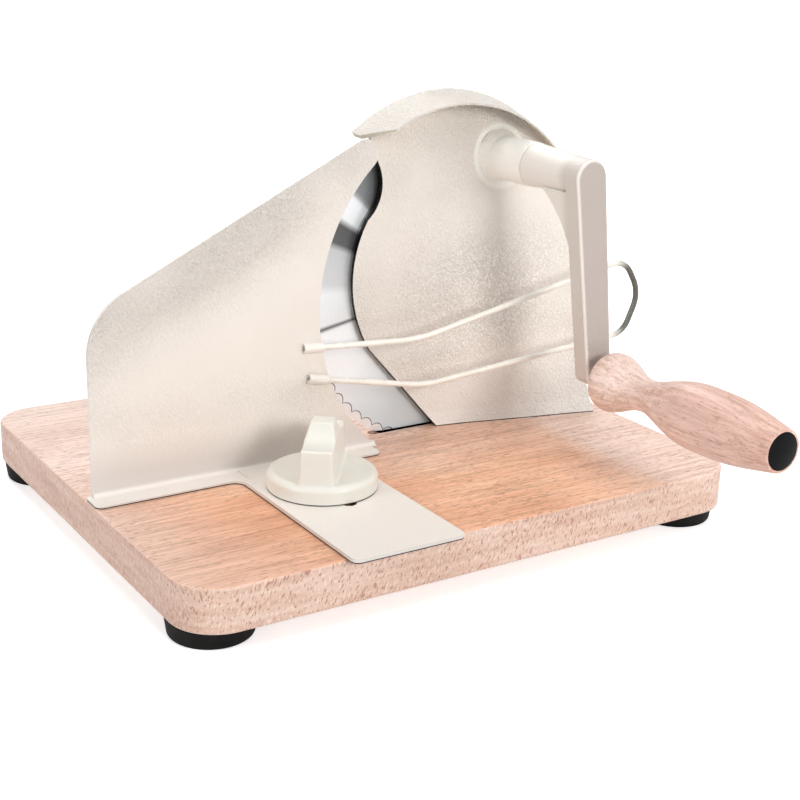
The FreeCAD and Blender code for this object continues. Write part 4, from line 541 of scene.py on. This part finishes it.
def blade_steel():
    """Polished on the turn, which leaves fine rings, with fan-shaped painted reflections and a painted
    highlight on the ground edge.

    A dark line follows the scallops, and the blade is painted black as shade where it runs in its groove.
    """
    graph = Graph("blade_steel")
    turn, radius = blade_angle(graph)
    rings = graph.noise(radius, 3200.0, 3.0, 0.7)
    smear = graph.noise(graph.place, 45.0, 4.0, 0.6)
    reflection_fans = graph.ramp(turn, *[(angle / 360, darker(BLADE_REFLECTION_TINT, bright)) for angle, bright in BLADE_REFLECTION_FANS])
    body = graph.mix(1.0, reflection_fans, graph.ramp(rings, (0.3, 0.90), (0.7, 1.05)), "MULTIPLY")
    body = graph.tinted(body, LOWER_REFLECTION_TINT, graph.fade(turn, *LOWER_REFLECTIONS))
    depth = graph.calc("SUBTRACT", graph.axis("Y"), BLADE_LOW.y)
    to_front = graph.facing("Y", (0.6, 0.3))
    line = graph.all_of(graph.fade(depth, 0.1 * BEVEL_LINE, 0.3 * BEVEL_LINE), to_front, 0.92)
    # Painted highlight: the ground edge is near white and not metallic.
    ground = graph.all_of(graph.fade(depth, 0.7 * BEVEL_LINE, BEVEL_LINE), to_front)
    colour = graph.mix(ground, graph.mix(line, body, BLACK_AND_SHADE), BEVEL_HIGHLIGHT)
    # Painted shade: black where the blade runs in its groove.
    groove_shadow = contact_shadow(graph, BOARD_TOP)
    colour = graph.mix(groove_shadow, colour, BLACK_AND_SHADE)
    metallic = graph.scaled(graph.calc("SUBTRACT", 1.0, ground), 0.3)
    tangent = graph.add("ShaderNodeTangent", direction_type="RADIAL", axis="Y").outputs["Tangent"]
    return graph.finish(color=colour, metallic=graph.most_of(metallic, groove_shadow),
                        roughness=graph.ramp(smear, (0.3, 0.30), (0.7, 0.40)), anisotropic=0.6,
                        tangent=tangent, normal=graph.bump(rings, 0.10, 0.00005))


def turned_metal(name, colour, roughness):
    graph = Graph(name)
    marks = graph.noise(graph.stretched((1.0, 3.0, 1.0)), 900.0, 3.0, 0.6)
    stain = graph.noise(graph.place, 90.0, 4.0, 0.6)
    shade = graph.ramp(stain, (0.3, darker(colour, 0.84)), (0.7, colour))
    rough = graph.ramp(marks, (0.3, roughness), (0.7, roughness + 0.14))
    return graph.finish(color=shade, metallic=1.0, roughness=rough,
                        normal=graph.bump(marks, 0.12, 0.0001))


FINISHES = {
    "beech": board_wood(),
    "handle_wood": handle_wood(),
    "rubber": rubber(),
    "cream_paint": casting_coat(),
    "cream_plate": sheet_coat(),
    "coated_wire": coated_wire(),
    "cream_knob": moulded("knob_plastic", (0.755, 0.735, 0.67), 0.34, 0.1,
                          stands_on=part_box("clamp_knob")[0][2]),
    "black_cap": moulded("cap_plastic", (0.005, 0.005, 0.006), 0.34, specular=0.07),
    "blade_steel": blade_steel(),
    "gear_steel": turned_metal("gear_steel", (0.22, 0.22, 0.21), 0.40),
    "shaft_steel": turned_metal("shaft_steel", (0.60, 0.60, 0.60), 0.24),
    "screw_steel": turned_metal("screw_steel", (0.58, 0.59, 0.60), 0.26),
    "bush_brass": turned_metal("bush_brass", (0.72, 0.50, 0.22), 0.28),
    "washer_plastic": moulded("washer_nylon", (0.72, 0.70, 0.64), 0.45),
}
OWN_FINISH = {"crank_arm": arm_coat()}


def dress_frame():
    """The finish of each node's material slot, or the node's own."""
    slots = {entry["node"]: entry["material_slot"] for entry in frame["record"]["subparts"]}
    for node, item in frame["nodes"].items():
        for holder in item.material_slots:
            holder.material = OWN_FINISH.get(node, FINISHES[slots[node]])


# Floor, light and camera

WHITE = (1.0, 1.0, 1.0, 1.0)
AMBIENT = 0.02
FLOOR_REACH = 6.0
FLOOR_GLOW = 0.55
FLOOR_GLOW_FAR = 1.0
GLOW_GROWS = (0.35, 1.2)

# Name, place, width and height, power in watts. Each lamp points at the same place.
LAMP_TARGET = Vector((0.0, 0.0, 0.1))
LAMPS = [
    ("top", (0.0, -0.1, 1.6), (1.4, 1.2), 13.0),
    ("left", (-1.5, -0.2, 0.7), (0.8, 0.8), 12.8),
    ("front", (0.2, -1.5, 0.6), (0.5, 0.5), 12.2),
    ("right_front", (1.2, -1.1, 0.7), (1.0, 0.8), 5.7),
    ("right", (1.5, 0.1, 0.8), (0.8, 0.8), 3.1),
    ("back", (0.3, 1.3, 1.2), (1.4, 0.5), 13.2),
]


def floor_card():
    """White paper. Seen directly it glows, so it reads as white and still keeps the shadows."""
    graph = Graph("floor_card")
    paper = graph.noise(graph.place, 3.0, 2.0)
    graph.finish(color=graph.ramp(paper, (0.3, 0.93), (0.7, 0.95)), roughness=0.9, specular=0.1)
    away = graph.add("ShaderNodeVectorMath", operation="LENGTH")
    graph.join(graph.place, away.inputs[0])
    further = graph.fade(away.outputs["Value"], *GLOW_GROWS)
    glow = graph.add("ShaderNodeEmission")
    graph.join(graph.scaled(further, FLOOR_GLOW_FAR - FLOOR_GLOW, FLOOR_GLOW), glow.inputs["Strength"])
    both = graph.add("ShaderNodeAddShader")
    graph.join(graph.shader.outputs[0], both.inputs[0])
    graph.join(glow.outputs[0], both.inputs[1])
    choose = graph.add("ShaderNodeMixShader")
    graph.join(graph.add("ShaderNodeLightPath").outputs["Is Camera Ray"], choose.inputs["Fac"])
    graph.join(graph.shader.outputs[0], choose.inputs[1])
    graph.join(both.outputs[0], choose.inputs[2])
    graph.join(choose.outputs[0], graph.tree.nodes["Material Output"].inputs["Surface"])
    return graph.material


def make_floor():
    level = cad_box[0][2]
    corners = [(x * FLOOR_REACH, y * FLOOR_REACH, level) for x, y in ((-1, -1), (1, -1), (1, 1), (-1, 1))]
    mesh = bpy.data.meshes.new("floor")
    mesh.from_pydata(corners, [], [(0, 1, 2, 3)])
    mesh.materials.append(floor_card())
    floor = bpy.data.objects.new("floor", mesh)
    bpy.context.collection.objects.link(floor)


def make_world():
    """Soft even light, and plain white where it is seen, mirrored or looked through."""
    world = bpy.data.worlds.new("studio")
    bpy.context.scene.world = world
    world.use_nodes = True
    tree = world.node_tree
    tree.nodes.clear()
    soft = tree.nodes.new("ShaderNodeBackground")
    soft.inputs["Color"].default_value = WHITE
    soft.inputs["Strength"].default_value = AMBIENT
    white = tree.nodes.new("ShaderNodeBackground")
    white.inputs["Color"].default_value = WHITE
    white.inputs["Strength"].default_value = 1.0
    paths = tree.nodes.new("ShaderNodeLightPath")
    seen = paths.outputs["Is Camera Ray"]
    for name in ("Is Glossy Ray", "Is Transmission Ray"):
        either = tree.nodes.new("ShaderNodeMath")
        either.operation = "MAXIMUM"
        tree.links.new(seen, either.inputs[0])
        tree.links.new(paths.outputs[name], either.inputs[1])
        seen = either.outputs[0]
    choose = tree.nodes.new("ShaderNodeMixShader")
    tree.links.new(seen, choose.inputs["Fac"])
    tree.links.new(soft.outputs[0], choose.inputs[1])
    tree.links.new(white.outputs[0], choose.inputs[2])
    output = tree.nodes.new("ShaderNodeOutputWorld")
    tree.links.new(choose.outputs[0], output.inputs["Surface"])


def make_lamps():
    for name, place, (width, height), power in LAMPS:
        data = bpy.data.lights.new(name, "AREA")
        data.shape = "RECTANGLE"
        data.size = width
        data.size_y = height
        data.energy = power
        item = bpy.data.objects.new(name, data)
        item.location = place
        item.rotation_euler = (LAMP_TARGET - Vector(place)).to_track_quat("-Z", "Y").to_euler()
        bpy.context.collection.objects.link(item)


CAMERA_PLACE = Vector((-0.4106, -0.6797, 0.3122))
CAMERA_TARGET = Vector((0.0302, -0.0028, 0.0441))
CAMERA_ROLL = math.radians(1.66)
CAMERA_LENS = 64.9


def make_camera():
    data = bpy.data.cameras.new("camera")
    data.lens = CAMERA_LENS
    data.sensor_width = 36.0
    data.clip_start = 0.01
    item = bpy.data.objects.new("camera", data)
    bpy.context.collection.objects.link(item)
    forward = (CAMERA_TARGET - CAMERA_PLACE).normalized()
    level = forward.cross(Vector((0, 0, 1))).normalized()
    upright = level.cross(forward)
    right = level * math.cos(CAMERA_ROLL) + upright * math.sin(CAMERA_ROLL)
    up = right.cross(forward)
    turn = Matrix((right, up, -forward)).transposed()
    item.matrix_world = Matrix.Translation(CAMERA_PLACE) @ turn.to_4x4()
    bpy.context.scene.camera = item


dress_frame()
make_floor()
make_world()
make_lamps()
make_camera()
bpy.context.scene.view_settings.view_transform = "Standard"
